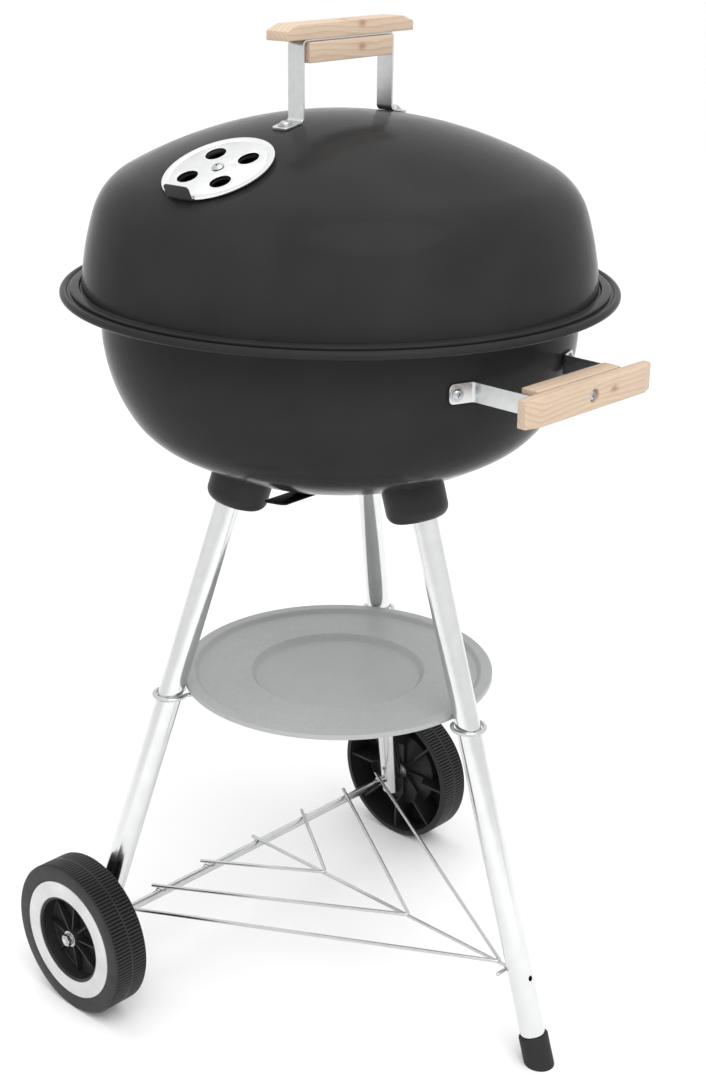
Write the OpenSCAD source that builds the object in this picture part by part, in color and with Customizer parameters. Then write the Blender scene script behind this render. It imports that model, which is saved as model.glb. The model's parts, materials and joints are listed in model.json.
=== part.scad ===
// Kettle charcoal grill: enamelled bowl and lift-off domed lid on three splayed tube legs,
// two wheels on an axle, a wire shelf, an ash tray and wooden handle boards.
// Millimetres, +Z up, the ground at z = 0, the front leg and the bowl's handle towards -Y.

/* [Kettle] */
// Outer diameter of the bowl's rolled rim
rim_d = 470; // [400:5:560]
// Height of the bowl's rim ledge above the ground
ledge_z = 661; // [560:1:760]
// Depth of the bowl below its rim ledge
bowl_depth = 172.5; // [145:0.5:207]
// Height of the lid's dome above the rim ledge
lid_height = 142; // [118:1:170]
// Thickness of the bowl and lid sheet
shell_t = 1.5; // [1:0.1:3]
// Angle the closed lid stands turned to
lid_turn = 4; // [-10:1:10]

/* [Legs] */
// Distance of the front foot's centre from the kettle's axis
foot_reach = 251; // [215:1:300]
// Outer diameter of the leg tubes
leg_d = 22; // [18:0.5:28]
// Wall of the leg tubes
leg_wall = 1.2; // [0.8:0.1:2]
// Angle round the kettle between the front leg and each wheel leg
leg_turn = 119; // [112:1:125]

/* [Wheels] */
// Outer diameter of the wheels
wheel_d = 144; // [130:1:170]
// Width of the wheels
wheel_w = 34; // [30:1:44]
// Diameter of the axle
axle_d = 8; // [7:0.5:10]

/* [Tray and shelf] */
// Outer diameter of the ash tray
tray_d = 283; // [236:1:300]
// Height of the tray's rim above the ground
tray_z = 306; // [260:1:360]
// Diameter of the shelf's wires
shelf_wire_d = 3.4; // [3:0.1:5]
// Height of the shelf where it meets the front leg
shelf_front_z = 81; // [76:1:100]

/* [Handles] */
// Length of the two handle boards
board_l = 158; // [140:1:190]
// Width of the handle boards
board_w = 22; // [18:1:30]
// Thickness of the handle boards
board_t = 12; // [9:1:16]
// Height of the clear gap under the lid's handle
lid_grip_gap = 42; // [34:1:60]
// Clear gap between the bowl's wall and its handle
bowl_grip_gap = 36; // [30:1:50]
// Width of the handle straps
strap_w = 16; // [12:1:20]

/* [Vents] */
// Diameter of the lid's vent disc
vent_d = 90; // [80:1:104]
// Distance of the vent disc's centre from the kettle's axis
vent_reach = 146; // [135:1:150]
// Diameter of the lid's vent holes
vent_hole_d = 17; // [12:0.5:19]
// Diameter of the ash holes in the bowl's bottom
ash_hole_d = 24; // [16:1:26]

/* [Hidden] */

fine = 96;
mid = 48;

// Running gaps: between a moving piece and its neighbour, and round a turning pin
gap = 0.35;
pin_gap = 0.08;
// Angle by which neighbouring arcs of a profile overlap, so that they join
lap = 0.02;

// ---- Bowl and lid profiles: three arcs each, tangent to one another ----
kettle_k = rim_d / 470;
rim_bead_r = 3.5;
rim_r = rim_d / 2;
ledge_w = 33.3;
lid_inset = 18;
wall_r = rim_r - ledge_w * kettle_k;
lid_r = rim_r - lid_inset * kettle_k;
flange_r = rim_r - 2 * rim_bead_r - 0.6;

bowl_side_r = 0.837 * bowl_depth;
bowl_corner_r = 76 * kettle_k;
bowl_crown_r = 302 * kettle_k;
bowl_side_c = [wall_r - bowl_side_r, ledge_z - 0.17 * bowl_depth];
bowl_crown_c = [0, ledge_z - bowl_depth + bowl_crown_r];
bowl_corner_c = meet(
    bowl_side_c, bowl_side_r - bowl_corner_r, bowl_crown_c, bowl_crown_r - bowl_corner_r);
bowl_a1 = bearing(bowl_side_c, bowl_corner_c);
bowl_a2 = bearing(bowl_crown_c, bowl_corner_c);

lid_side_r = 1.736 * lid_height;
lid_shoulder_r = 56 * kettle_k;
lid_crown_r = 368 * kettle_k;
lid_side_c = [lid_r - lid_side_r, ledge_z - 13.5];
lid_crown_c = [0, ledge_z + lid_height - lid_crown_r];
lid_shoulder_c = meet(
    lid_side_c, lid_side_r - lid_shoulder_r, lid_crown_c, lid_crown_r - lid_shoulder_r);
lid_base_z = ledge_z + gap;
lid_a0 = asin((lid_base_z - lid_side_c[1]) / lid_side_r);
lid_a1 = bearing(lid_side_c, lid_shoulder_c);
lid_a2 = bearing(lid_crown_c, lid_shoulder_c);

// ---- Handles ----
strap_t = 2;
strap_bend_r = 3;
strap_half = 57;
strap_foot_l = 19;
block_l = 104;
block_t = 16;
board_chamfer_run = 13;
board_chamfer = 4.5;
handle_bolt_d = 5;
handle_head_d = 9.4;
handle_head_h = 3;
screw_offset = 3;
// Bolt heads and nuts of the handles: recesses in the wood, and clearance round a shank
board_recess_d = 11;
board_recess = 4;
block_recess_d = 13;
block_recess = 5;
bolt_clear = 0.4;
nut_clear = 0.1;
small_nut_af = 8;
small_nut_t = 4;
strap_screw_l = 13;
strap_screw_d = 9;
strap_screw_h = 2.6;
strap_washer_d = 12;
strap_washer_t = 1;
// The strap's feet stand this far off the crown, so that their flat ends clear its curve
seat_lift = 0.15;
// The lid's and bowl's screws: half the distance between the feet
lid_foot_half = 66;
bowl_foot_half = 67.5;

// Lid handle, measured up from the centre of the lid's crown
lid_foot_a = asin(lid_foot_half / lid_crown_r);
lid_board_r = lid_crown_r + lid_grip_gap + block_t + strap_t;
// Bowl handle, measured out from the kettle's axis
bowl_strap_z = ledge_z - 44;
bowl_seat_r = wall_r - 0.05;
bowl_foot_a = asin(bowl_foot_half / wall_r);
bowl_board_r = wall_r + bowl_grip_gap + block_t + strap_t;

// The frame's origin is under the middle of the whole grill
axis_y = (bowl_board_r + board_t - rim_r) / 2;

// ---- Legs: each one square to the bowl's bottom, so its axis passes through the crown centre ----
crown_z = bowl_crown_c[1];
leg_tilt = atan2(foot_reach, crown_z);
leg_r = leg_d / 2;
leg_top_d = bowl_crown_r + 10;
socket_r = 27;
socket_t = 2;
socket_round = 10;
socket_shift = 6;
socket_end_d = bowl_crown_r + 30;
insert_l = 16;
leg_bolt_d = 6;
leg_bolt_af = 10;
leg_bolt_head = 4;
leg_bolt_l = 25;
leg_washer_d = 16;
leg_washer_t = 1.3;
front_az = -90;
left_az = front_az - leg_turn;
right_az = front_az + leg_turn;
cap_top_z = 26;
cap_wall = 2.2;
front_leg_end_z = 8;

// ---- Wheels and axle ----
wheel_r = wheel_d / 2;
axle_z = wheel_r;
axle_y = axis_y + leg_rho(axle_z) * sin(right_az);
leg_x = leg_rho(axle_z) * cos(right_az);
leg_slope_x = tan(leg_tilt) * cos(right_az);
hub_r = 8.5;
// The leg leans into the wheel's hollow below the axle, so the hub starts clear of it
leg_face_x = leg_x + leg_r / cos(leg_tilt) + leg_slope_x * hub_r;
inner_washer_t = 0.8;
hub_x0 = leg_face_x + inner_washer_t + gap;
wheel_x0 = hub_x0 - 10.4;
wheel_x1 = wheel_x0 + wheel_w;
hub_x1 = wheel_x1 - 3.5;
web_x = wheel_x1 - 17;
web_t = 3;
tread_t = 6;
face_t = 3;
dish_r = 0.57 * wheel_r;
leg_end_z = axle_z - 16;
shoulder_x = hub_x1 + gap;
outer_washer_t = 1;
axle_end_d = 6;
nut_af = 10;
nut_t = 5;
axle_half = shoulder_x + outer_washer_t + nut_t + 1;
trim_r0 = 0.575 * wheel_r;
trim_r1 = 0.785 * wheel_r;
trim_t = 0.8;

// ---- Tray and shelf ----
tray_t = 1.2;
tray_floor_z = tray_z - 4;
tray_well_z = tray_z - 9;
tray_hem = 4.4;
hook_d = 4;
hook_z = tray_floor_z - tray_t - hook_d / 2;
hook_r = leg_r / cos(leg_tilt) + hook_d / 2 + 1.4;
hook_a = 168;
shelf_bar_z = axle_z + (axle_d + shelf_wire_d) / 2 + 0.05;
// Half widths of the three V wires along the axle; the outer one ends just inside the legs
shelf_half = [0.35 * leg_x, 0.66 * leg_x, leg_x - leg_r - 6.5];
shelf_along = [0.303, 0.623, 0.944];
shelf_over = 8;
weld_bead = 1.2;

// ---- Vents ----
disc_t = 1.2;
vent_a = asin(vent_reach / lid_crown_r);
vent_ring_r = 0.27 * vent_d;
vent_tab_w = 26;
vent_tab_h = 11;
vent_screw_d = 5;
vent_head_d = 10;
vent_head_h = 2.4;
spring_d = 10;
spring_t = 1.8;
// The damper reaches to just short of the sockets, and its holes lie inside its edge
damper_clear = 0.386;
damper_r = bowl_crown_r * sin(leg_tilt) - socket_r - socket_shift - damper_clear;
ash_ring_r = damper_r - 18;
damper_bolt_d = 5;
damper_head_d = 12;
damper_head_h = 3;
damper_a = asin(damper_r / bowl_crown_r);
// The lever leaves the damper 2.2 degrees inside its edge, between two of the ash holes
lever_a = damper_a - 2.2;
lever_az = -161;
lever_w = 20.5;
lever_l = 81;
ash_az = [lever_az + 60, lever_az + 180, lever_az + 300];

// ---- Grates ----
cooking_z = ledge_z - 21;
cooking_wire_d = 4;
cooking_ring_d = 6;
cooking_r = wall_r - shell_t - 5.5;
cooking_pitch = 16;
charcoal_z = ledge_z - 112;
charcoal_wire_d = 5;
charcoal_ring_d = 6;
charcoal_pitch = 24;
charcoal_corner = bowl_corner_r - shell_t - gap - charcoal_ring_d / 2;
charcoal_r = bowl_corner_c[0] + sqrt(
    charcoal_corner * charcoal_corner - (bowl_corner_c[1] - charcoal_z) * (bowl_corner_c[1] - charcoal_z));
rest_az = [30, 150, 270];
rest_w = 20;
rest_t = 2;
rest_l = 16;
rest_h = 20;
rest_top_z = cooking_z - cooking_ring_d / 2 - gap;
// The rests follow the bowl's inner face: upright above the side arc, drawn in below it
rest_r = wall_r - shell_t;
rest_a = 2 * asin(rest_w / (2 * rest_r));
rest_foot_z = rest_top_z - rest_h;
rest_foot_r = bowl_side_c[0] + sqrt(
    (bowl_side_r - shell_t) * (bowl_side_r - shell_t)
    - (bowl_side_c[1] - rest_foot_z) * (bowl_side_c[1] - rest_foot_z));

// ==== Helpers ====
function unit(a) = [cos(a), sin(a)];
function bearing(c, p) = atan2(p[1] - c[1], p[0] - c[0]);

// The crossing point, on the side away from the axis, of two circles
function meet(c1, r1, c2, r2) =
    let (
        v = c2 - c1,
        d = norm(v),
        a = (r1 * r1 - r2 * r2 + d * d) / (2 * d),
        h = sqrt(r1 * r1 - a * a),
        p = c1 + (a * v + h * [-v[1], v[0]]) / d,
        q = c1 + (a * v - h * [-v[1], v[0]]) / d
    )
    p[0] > q[0] ? p : q;

// Distance of a leg's axis from the kettle's axis at height z
function leg_rho(z) = (crown_z - z) * tan(leg_tilt);

// Distance down a leg from the crown centre to height z
function leg_s(z) = (crown_z - z) / cos(leg_tilt);

// Flat strip of thickness t bent to outer radius r about c, from angle a0 to a1
module band(c, r, t, a0, a1) {
    intersection() {
        translate(c)
            difference() {
                circle(r, $fn = fine);
                circle(r - t, $fn = fine);
            }
        polygon([c, c + 2 * r * unit(a0), c + 2 * r * unit((a0 + a1) / 2), c + 2 * r * unit(a1)]);
    }
}

// Wire from point p to point q
module rod(p, q, d) {
    v = q - p;
    translate(p)
        rotate([0, acos(v[2] / norm(v)), atan2(v[1], v[0])])
            cylinder(d = d, h = norm(v), $fn = 24);
}

// Places children on the kettle's axis
module on_axis() translate([0, axis_y, 0]) children();

// Places children down a leg: +Z runs down the leg from the crown centre, +X leans to the axis
module on_leg(az)
    translate([0, axis_y, crown_z])
        rotate([0, 0, az])
            rotate([0, 180 - leg_tilt, 0])
                children();

// Places children with their X along the axle, from the wheel's inner side outwards
module on_axle(side)
    translate([0, axle_y, axle_z])
        rotate([0, 90 * side, 0])
            children();

// Places children in the lid, turned as the closed lid stands
module on_lid() translate([0, axis_y, 0]) rotate([0, 0, lid_turn]) children();

// Places children on the lid's crown, at angle a from the top towards +X
module on_crown(a)
    on_lid()
        translate([0, 0, lid_crown_c[1]])
            rotate([0, a, 0])
                children();

// Places children at the bowl strap's height, +Z pointing out at angle a from the front
module on_wall(a)
    translate([0, axis_y, bowl_strap_z])
        rotate([0, 0, a])
            rotate([90, 0, 0])
                children();

module pan_screw(head_d, head_h, shank_d, shank_l) {
    difference() {
        cylinder(d = head_d, h = head_h, $fn = mid);
        for (a = [0, 90])
            rotate([0, 0, a])
                translate([-head_d * 0.27, -0.5, head_h - 1.2])
                    cube([head_d * 0.54, 1, 2]);
    }
    translate([0, 0, -shank_l])
        cylinder(d = shank_d, h = shank_l + 0.5, $fn = mid);
}

module hex_nut(af, h, hole_d) {
    difference() {
        cylinder(d = af / cos(30), h = h, $fn = 6);
        translate([0, 0, -1])
            cylinder(d = hole_d, h = h + 2, $fn = mid);
    }
}

module washer(outer_d, hole_d, h) {
    difference() {
        cylinder(d = outer_d, h = h, $fn = mid);
        translate([0, 0, -1])
            cylinder(d = hole_d, h = h + 2, $fn = mid);
    }
}

// ==== Handle parts, shared by the lid and the bowl ====

// Points along an arc of radius r about c, from angle a0 to a1
function arc(c, r, a0, a1) = [for (i = [0 : 6]) c + r * unit(a0 + (a1 - a0) * i / 6)];

// Half of the strap's underside (t = 0) or of its upper side (t = strap_t), from foot to crossbar
function strap_line(top, seat, foot_a, t) =
    let (
        bend = strap_bend_r + strap_t,
        foot_x = strap_half + strap_bend_r,
        foot_y = (seat + bend - foot_x * sin(foot_a)) / cos(foot_a),
        foot_c = [foot_x, foot_y],
        foot_r = bend - t
    )
    concat(
        [foot_c + foot_r * unit(-90 - foot_a) + strap_foot_l * unit(-foot_a)],
        arc(foot_c, foot_r, 270 - foot_a, 180),
        arc([strap_half - bend, top - bend], strap_bend_r + t, 0, 90)
    );

function mirrored(points) = [for (p = points) [-p[0], p[1]]];
function reversed(points) = [for (i = [len(points) - 1 : -1 : 0]) points[i]];

// Hat-shaped strap outline: crossbar at height top, feet lying on a circle of radius seat
module strap_outline(top, seat, foot_a) {
    under = strap_line(top, seat, foot_a, 0);
    over = strap_line(top, seat, foot_a, strap_t);
    polygon(concat(under, reversed(mirrored(under)), mirrored(over), reversed(over)));
}

module strap(top, seat, foot_a) {
    difference() {
        translate([0, 0, -strap_w / 2])
            linear_extrude(strap_w)
                strap_outline(top, seat, foot_a);
        translate([0, top - 10, 0])
            rotate([-90, 0, 0])
                cylinder(d = handle_bolt_d + bolt_clear, h = 20, $fn = mid);
        for (side = [-1, 1])
            rotate([0, 0, -side * foot_a])
                translate([side * screw_offset, seat - 5, 0])
                    rotate([-90, 0, 0])
                        cylinder(d = handle_bolt_d + bolt_clear, h = 12, $fn = mid);
    }
}

module board(base) {
    half = board_l / 2;
    difference() {
        translate([0, base, -board_w / 2])
            linear_extrude(board_w)
                polygon([
                    [-half, 0], [half, 0], [half, board_t - board_chamfer],
                    [half - board_chamfer_run, board_t], [board_chamfer_run - half, board_t],
                    [-half, board_t - board_chamfer]
                ]);
        translate([0, base - 1, 0])
            rotate([-90, 0, 0])
                cylinder(d = handle_bolt_d + bolt_clear, h = board_t + 2, $fn = mid);
        translate([0, base + board_t - board_recess, 0])
            rotate([-90, 0, 0])
                cylinder(d = board_recess_d, h = board_recess + 1, $fn = mid);
    }
}

module block(base) {
    difference() {
        translate([-block_l / 2, base - strap_t - block_t, -board_w / 2])
            cube([block_l, block_t, board_w]);
        translate([0, base - strap_t - block_t - 1, 0])
            rotate([-90, 0, 0])
                cylinder(d = handle_bolt_d + bolt_clear, h = block_t + 2, $fn = mid);
        translate([0, base - strap_t - block_t - 1, 0])
            rotate([-90, 0, 0])
                cylinder(d = block_recess_d, h = block_recess + 1, $fn = mid);
    }
}

module handle_bolt(base) {
    translate([0, base + board_t - board_recess, 0])
        rotate([-90, 0, 0])
            pan_screw(
                handle_head_d, handle_head_h, handle_bolt_d, board_t - board_recess + strap_t + block_t - 1);
}

module handle_nut(base) {
    translate([0, base - strap_t - block_t + block_recess, 0])
        rotate([90, 0, 0])
            hex_nut(small_nut_af, small_nut_t, handle_bolt_d + nut_clear);
}

// Lid handle parts stand in a plane through the kettle's axis, bowl handle parts lie flat
module as_lid_handle() on_lid() translate([0, 0, lid_crown_c[1]]) rotate([90, 0, 0]) children();
module as_bowl_handle()
    translate([0, axis_y, bowl_strap_z])
        rotate([0, 0, 180])
            children();

// ==== Bowl and stand ====

module bowl_shell() {
    color([0.09, 0.09, 0.09])
    difference() {
        on_axis()
            rotate_extrude($fn = fine) {
                band(bowl_side_c, bowl_side_r, shell_t, 0, bowl_a1);
                band(bowl_corner_c, bowl_corner_r, shell_t, bowl_a1 + lap, bowl_a2 - lap);
                band(bowl_crown_c, bowl_crown_r, shell_t, bowl_a2, -90);
                translate([wall_r - shell_t, bowl_side_c[1]])
                    square([shell_t, ledge_z - bowl_side_c[1]]);
                translate([wall_r - shell_t, ledge_z - shell_t])
                    square([rim_r - rim_bead_r - wall_r + shell_t, shell_t]);
                translate([rim_r - rim_bead_r, ledge_z - 2])
                    circle(rim_bead_r, $fn = mid);
            }
        for (a = ash_az)
            translate([0, axis_y, crown_z])
                rotate([0, 0, a])
                    rotate([0, 180 - asin(ash_ring_r / bowl_crown_r), 0])
                        translate([0, 0, bowl_crown_r - 5])
                            cylinder(d = ash_hole_d, h = 10, $fn = mid);
        on_axis()
            translate([0, 0, ledge_z - bowl_depth - 5])
                cylinder(d = damper_bolt_d + bolt_clear, h = 10, $fn = mid);
        for (az = [front_az, left_az, right_az])
            on_leg(az)
                translate([0, 0, bowl_crown_r - 5])
                    cylinder(d = leg_bolt_d + 0.6, h = 10, $fn = mid);
        for (side = [-1, 1])
            on_wall(side * bowl_foot_a)
                translate([side * screw_offset, 0, wall_r - 6])
                    cylinder(d = handle_bolt_d + bolt_clear, h = 10, $fn = mid);
    }
}

module bowl_handle_strap() {
    color([0.75, 0.76, 0.78])
    as_bowl_handle()
        strap(bowl_board_r, bowl_seat_r + seat_lift, bowl_foot_a);
}

module bowl_handle_board() {
    color([0.86, 0.68, 0.5])
    as_bowl_handle()
        board(bowl_board_r);
}

module bowl_handle_block() {
    color([0.86, 0.68, 0.5])
    as_bowl_handle()
        block(bowl_board_r);
}

module bowl_handle_bolt() {
    color([0.75, 0.76, 0.78])
    as_bowl_handle()
        handle_bolt(bowl_board_r);
}

module bowl_handle_nut() {
    color([0.75, 0.76, 0.78])
    as_bowl_handle()
        handle_nut(bowl_board_r);
}

module bowl_strap_screws() {
    color([0.75, 0.76, 0.78])
    for (side = [-1, 1])
        on_wall(side * bowl_foot_a)
            translate([side * screw_offset, 0, bowl_seat_r + seat_lift + strap_t + strap_washer_t])
                pan_screw(strap_screw_d, strap_screw_h, handle_bolt_d, strap_screw_l);
}

module bowl_strap_washers() {
    color([0.75, 0.76, 0.78])
    for (side = [-1, 1])
        on_wall(side * bowl_foot_a)
            translate([side * screw_offset, 0, bowl_seat_r + seat_lift + strap_t])
                washer(strap_washer_d, handle_bolt_d + bolt_clear, strap_washer_t);
}

module bowl_strap_nuts() {
    color([0.75, 0.76, 0.78])
    for (side = [-1, 1])
        on_wall(side * bowl_foot_a)
            translate([side * screw_offset, 0, wall_r - shell_t - small_nut_t - 1.4])
                hex_nut(small_nut_af, small_nut_t, handle_bolt_d + nut_clear);
}

// Three angle brackets welded inside the bowl that carry the cooking grate
module grate_rests() {
    color([0.7, 0.7, 0.72])
    for (az = rest_az)
        on_axis()
            rotate([0, 0, az - rest_a / 2])
                rotate_extrude(angle = rest_a, $fn = fine)
                    polygon([
                        [rest_r - rest_l, rest_top_z], [rest_r, rest_top_z], [rest_r, bowl_side_c[1]],
                        [rest_foot_r, rest_foot_z], [rest_foot_r - rest_t, rest_foot_z],
                        [rest_r - rest_t, rest_top_z - rest_t], [rest_r - rest_l, rest_top_z - rest_t]
                    ]);
}

// Rounded cup welded under the bowl round the top of a leg
module leg_socket(az) {
    difference() {
        on_leg(az)
            difference() {
                translate([socket_shift, 0, 0])
                    rotate_extrude($fn = mid)
                        socket_outline();
                translate([0, 0, leg_top_d])
                    cylinder(d = leg_d + 0.6, h = 60, $fn = mid);
            }
        translate([0, axis_y, crown_z])
            sphere(r = bowl_crown_r + 0.05, $fn = fine);
    }
}

module socket_outline() {
    inner = socket_r - socket_t;
    translate([inner, leg_top_d - 25])
        square([socket_t, socket_end_d - socket_round - leg_top_d + 25]);
    band([socket_r - socket_round, socket_end_d - socket_round], socket_round, socket_t, 0, 90);
    translate([0, socket_end_d - socket_t])
        square([socket_r - socket_round, socket_t]);
}

module front_leg_socket() {
    color([0.09, 0.09, 0.09])
    leg_socket(front_az);
}

module left_leg_socket() {
    color([0.09, 0.09, 0.09])
    leg_socket(left_az);
}

module right_leg_socket() {
    color([0.09, 0.09, 0.09])
    leg_socket(right_az);
}

module leg_bolts() {
    color([0.7, 0.7, 0.72])
    for (az = [front_az, left_az, right_az])
        on_leg(az) {
            translate([0, 0, bowl_crown_r - shell_t - leg_washer_t - leg_bolt_head - 0.3])
                cylinder(d = leg_bolt_af / cos(30), h = leg_bolt_head, $fn = 6);
            translate([0, 0, bowl_crown_r - shell_t - 2])
                cylinder(d = leg_bolt_d, h = leg_bolt_l, $fn = mid);
        }
}

module leg_bolt_washers() {
    color([0.7, 0.7, 0.72])
    for (az = [front_az, left_az, right_az])
        on_leg(az)
            translate([0, 0, bowl_crown_r - shell_t - leg_washer_t - 0.2])
                washer(leg_washer_d, leg_bolt_d + bolt_clear, leg_washer_t);
}

// Threaded plugs in the tops of the leg tubes
module leg_inserts() {
    color([0.7, 0.7, 0.72])
    for (az = [front_az, left_az, right_az])
        on_leg(az)
            translate([0, 0, leg_top_d])
                washer(leg_d - 2 * leg_wall - 0.1, leg_bolt_d + 0.1, insert_l);
}

module leg_tube(az, end_z) {
    on_leg(az)
        translate([0, 0, leg_top_d])
            difference() {
                cylinder(d = leg_d, h = leg_s(end_z) - leg_top_d, $fn = mid);
                translate([0, 0, -1])
                    cylinder(d = leg_d - 2 * leg_wall, h = leg_s(end_z) - leg_top_d + 2, $fn = mid);
            }
}

module front_leg() {
    color([0.82, 0.83, 0.84])
    difference() {
        leg_tube(front_az, front_leg_end_z);
        translate([0, axis_y - leg_rho(shelf_front_z), shelf_front_z])
            rotate([90, 0, 0])
                cylinder(d = shelf_wire_d + 0.6, h = 60, center = true, $fn = mid);
    }
}

module wheel_leg(az) {
    difference() {
        leg_tube(az, leg_end_z);
        translate([0, axle_y, axle_z])
            rotate([0, 90, 0])
                cylinder(d = axle_d + 0.4, h = 600, center = true, $fn = mid);
    }
}

module left_leg() {
    color([0.82, 0.83, 0.84])
    wheel_leg(left_az);
}

module right_leg() {
    color([0.82, 0.83, 0.84])
    wheel_leg(right_az);
}

// Rubber cap on the front leg, cut level with the ground
module front_foot_cap() {
    color([0.06, 0.06, 0.06])
    difference() {
        on_leg(front_az)
            difference() {
                translate([0, 0, leg_s(cap_top_z)])
                    cylinder(r = leg_r + cap_wall, h = 50, $fn = mid);
                translate([0, 0, leg_s(cap_top_z) - 1])
                    cylinder(r = leg_r + 0.05, h = leg_s(front_leg_end_z) - leg_s(cap_top_z) + 1, $fn = mid);
            }
        translate([-100, axis_y - foot_reach - 100, -100])
            cube([200, 200, 100]);
    }
}

// Pressed tray: turned-down hem, flat rim, floor and a deeper well in the middle
module ash_tray() {
    r = tray_d / 2;
    color([0.62, 0.64, 0.64])
    on_axis()
        rotate_extrude($fn = fine)
            polygon([
                [0, tray_well_z], [0.53 * r, tray_well_z], [0.56 * r, tray_floor_z],
                [0.9 * r, tray_floor_z], [0.925 * r, tray_z], [r, tray_z],
                [r, tray_z - tray_hem], [r - tray_t, tray_z - tray_hem],
                [r - tray_t, tray_z - tray_t],
                [0.93 * r, tray_z - tray_t], [0.905 * r, tray_floor_z - tray_t],
                [0.565 * r, tray_floor_z - tray_t], [0.535 * r, tray_well_z - tray_t],
                [0, tray_well_z - tray_t]
            ]);
}

// Wire hooks under the tray, each one looped round a leg
module tray_hooks() {
    rho = leg_rho(hook_z);
    elbow = [rho + hook_r * cos(hook_a), hook_r * sin(hook_a), 0];
    color([0.75, 0.76, 0.78])
    for (az = [front_az, left_az, right_az])
        translate([0, axis_y, hook_z])
            rotate([0, 0, az]) {
                translate([rho, 0, 0])
                    rotate([0, 0, -hook_a])
                        rotate_extrude(angle = 2 * hook_a, $fn = mid)
                            translate([hook_r, 0])
                                circle(d = hook_d, $fn = 24);
                rod([0.82 * tray_d / 2, elbow[1], 0], elbow, hook_d);
                translate(elbow)
                    sphere(d = hook_d + weld_bead, $fn = 24);
            }
}

// Wire shelf: a spine from the axle to the front leg and three nested V wires
module wire_shelf() {
    back = [0, axle_y + shelf_over, shelf_bar_z];
    tip = [0, axis_y - leg_rho(shelf_front_z) + 3, shelf_front_z];
    cross_y = axis_y - leg_rho(shelf_front_z) + leg_r / cos(leg_tilt) + shelf_wire_d;
    color([0.75, 0.76, 0.78])
    union() {
        rod(back, tip, shelf_wire_d);
        for (i = [0 : 2]) {
            vertex = back + (tip - back) * shelf_along[i];
            for (side = [-1, 1])
                rod(back + [side * shelf_half[i], 0, 0], vertex, shelf_wire_d);
            translate(vertex)
                sphere(d = shelf_wire_d + weld_bead, $fn = 24);
        }
        translate([-14, cross_y, shelf_front_z])
            rotate([0, 90, 0])
                cylinder(d = shelf_wire_d, h = 28, $fn = 24);
    }
}

module axle_rod() {
    color([0.75, 0.76, 0.78])
    translate([0, axle_y, axle_z])
        rotate([0, 90, 0])
            union() {
                cylinder(d = axle_d, h = 2 * shoulder_x, center = true, $fn = mid);
                cylinder(d = axle_end_d, h = 2 * axle_half, center = true, $fn = mid);
            }
}

module axle_inner_washers() {
    color([0.75, 0.76, 0.78])
    for (side = [-1, 1])
        on_axle(side)
            translate([0, 0, leg_face_x])
                washer(2 * hub_r, axle_d + 0.2, inner_washer_t);
}

module axle_outer_washers() {
    color([0.75, 0.76, 0.78])
    for (side = [-1, 1])
        on_axle(side)
            translate([0, 0, shoulder_x])
                washer(2 * hub_r, axle_end_d + 0.2, outer_washer_t);
}

module axle_nuts() {
    color([0.78, 0.79, 0.8])
    for (side = [-1, 1])
        on_axle(side)
            translate([0, 0, shoulder_x + outer_washer_t])
                hex_nut(nut_af, nut_t, axle_end_d + 0.1);
}

// One-piece moulded wheel: hollow behind, dished in front, eight ribs on each side of the web
module wheel(side) {
    on_axle(side)
        difference() {
            union() {
                rotate_extrude($fn = fine) {
                    translate([wheel_r - tread_t, wheel_x0])
                        square([tread_t, wheel_w]);
                    translate([dish_r - 2.5, wheel_x1 - face_t])
                        square([wheel_r - dish_r, face_t]);
                    translate([dish_r - 2.5, web_x])
                        square([2.5, wheel_x1 - web_x]);
                    translate([axle_d / 2, web_x])
                        square([dish_r - axle_d / 2 - 1, web_t]);
                    translate([axle_d / 2 + pin_gap, hub_x0])
                        square([hub_r - axle_d / 2 - pin_gap, hub_x1 - hub_x0]);
                }
                for (a = [0 : 45 : 315])
                    rotate([0, 0, a])
                        wheel_ribs();
            }
            cylinder(d = axle_d + 2 * pin_gap, h = 400, $fn = mid);
            translate([0, 0, wheel_x1 - trim_t / 2])
                washer(2 * trim_r1 + 0.1, 2 * trim_r0 - 0.1, trim_t);
        }
}

module wheel_ribs() {
    hollow_r = wheel_r - tread_t + 1;
    translate([0, 1.2, 0])
        rotate([90, 0, 0])
            linear_extrude(2.4)
                polygon([
                    [hub_r - 1, web_x + 1], [hub_r - 1, web_x - 3.5], [30, web_x - 3.5],
                    [37, wheel_x0 + 3], [hollow_r, wheel_x0 + 3], [hollow_r, wheel_x1 - 1],
                    [dish_r - 1.5, wheel_x1 - 1], [dish_r - 1.5, web_x + 1]
                ]);
    translate([0, 1, 0])
        rotate([90, 0, 0])
            linear_extrude(2)
                polygon([
                    [hub_r - 1, web_x + 1], [hub_r - 1, hub_x1 - 2],
                    [dish_r - 1, web_x + web_t + 5], [dish_r - 1, web_x + 1]
                ]);
}

module wheel_trim(side) {
    on_axle(side)
        translate([0, 0, wheel_x1 - trim_t / 2])
            washer(2 * trim_r1, 2 * trim_r0, trim_t);
}

module left_wheel() {
    color([0.1, 0.1, 0.1])
    wheel(-1);
}

module left_wheel_trim() {
    color([0.88, 0.88, 0.88])
    wheel_trim(-1);
}

module right_wheel() {
    color([0.1, 0.1, 0.1])
    wheel(1);
}

module right_wheel_trim() {
    color([0.88, 0.88, 0.88])
    wheel_trim(1);
}

// ==== Ash damper under the bowl ====

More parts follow.
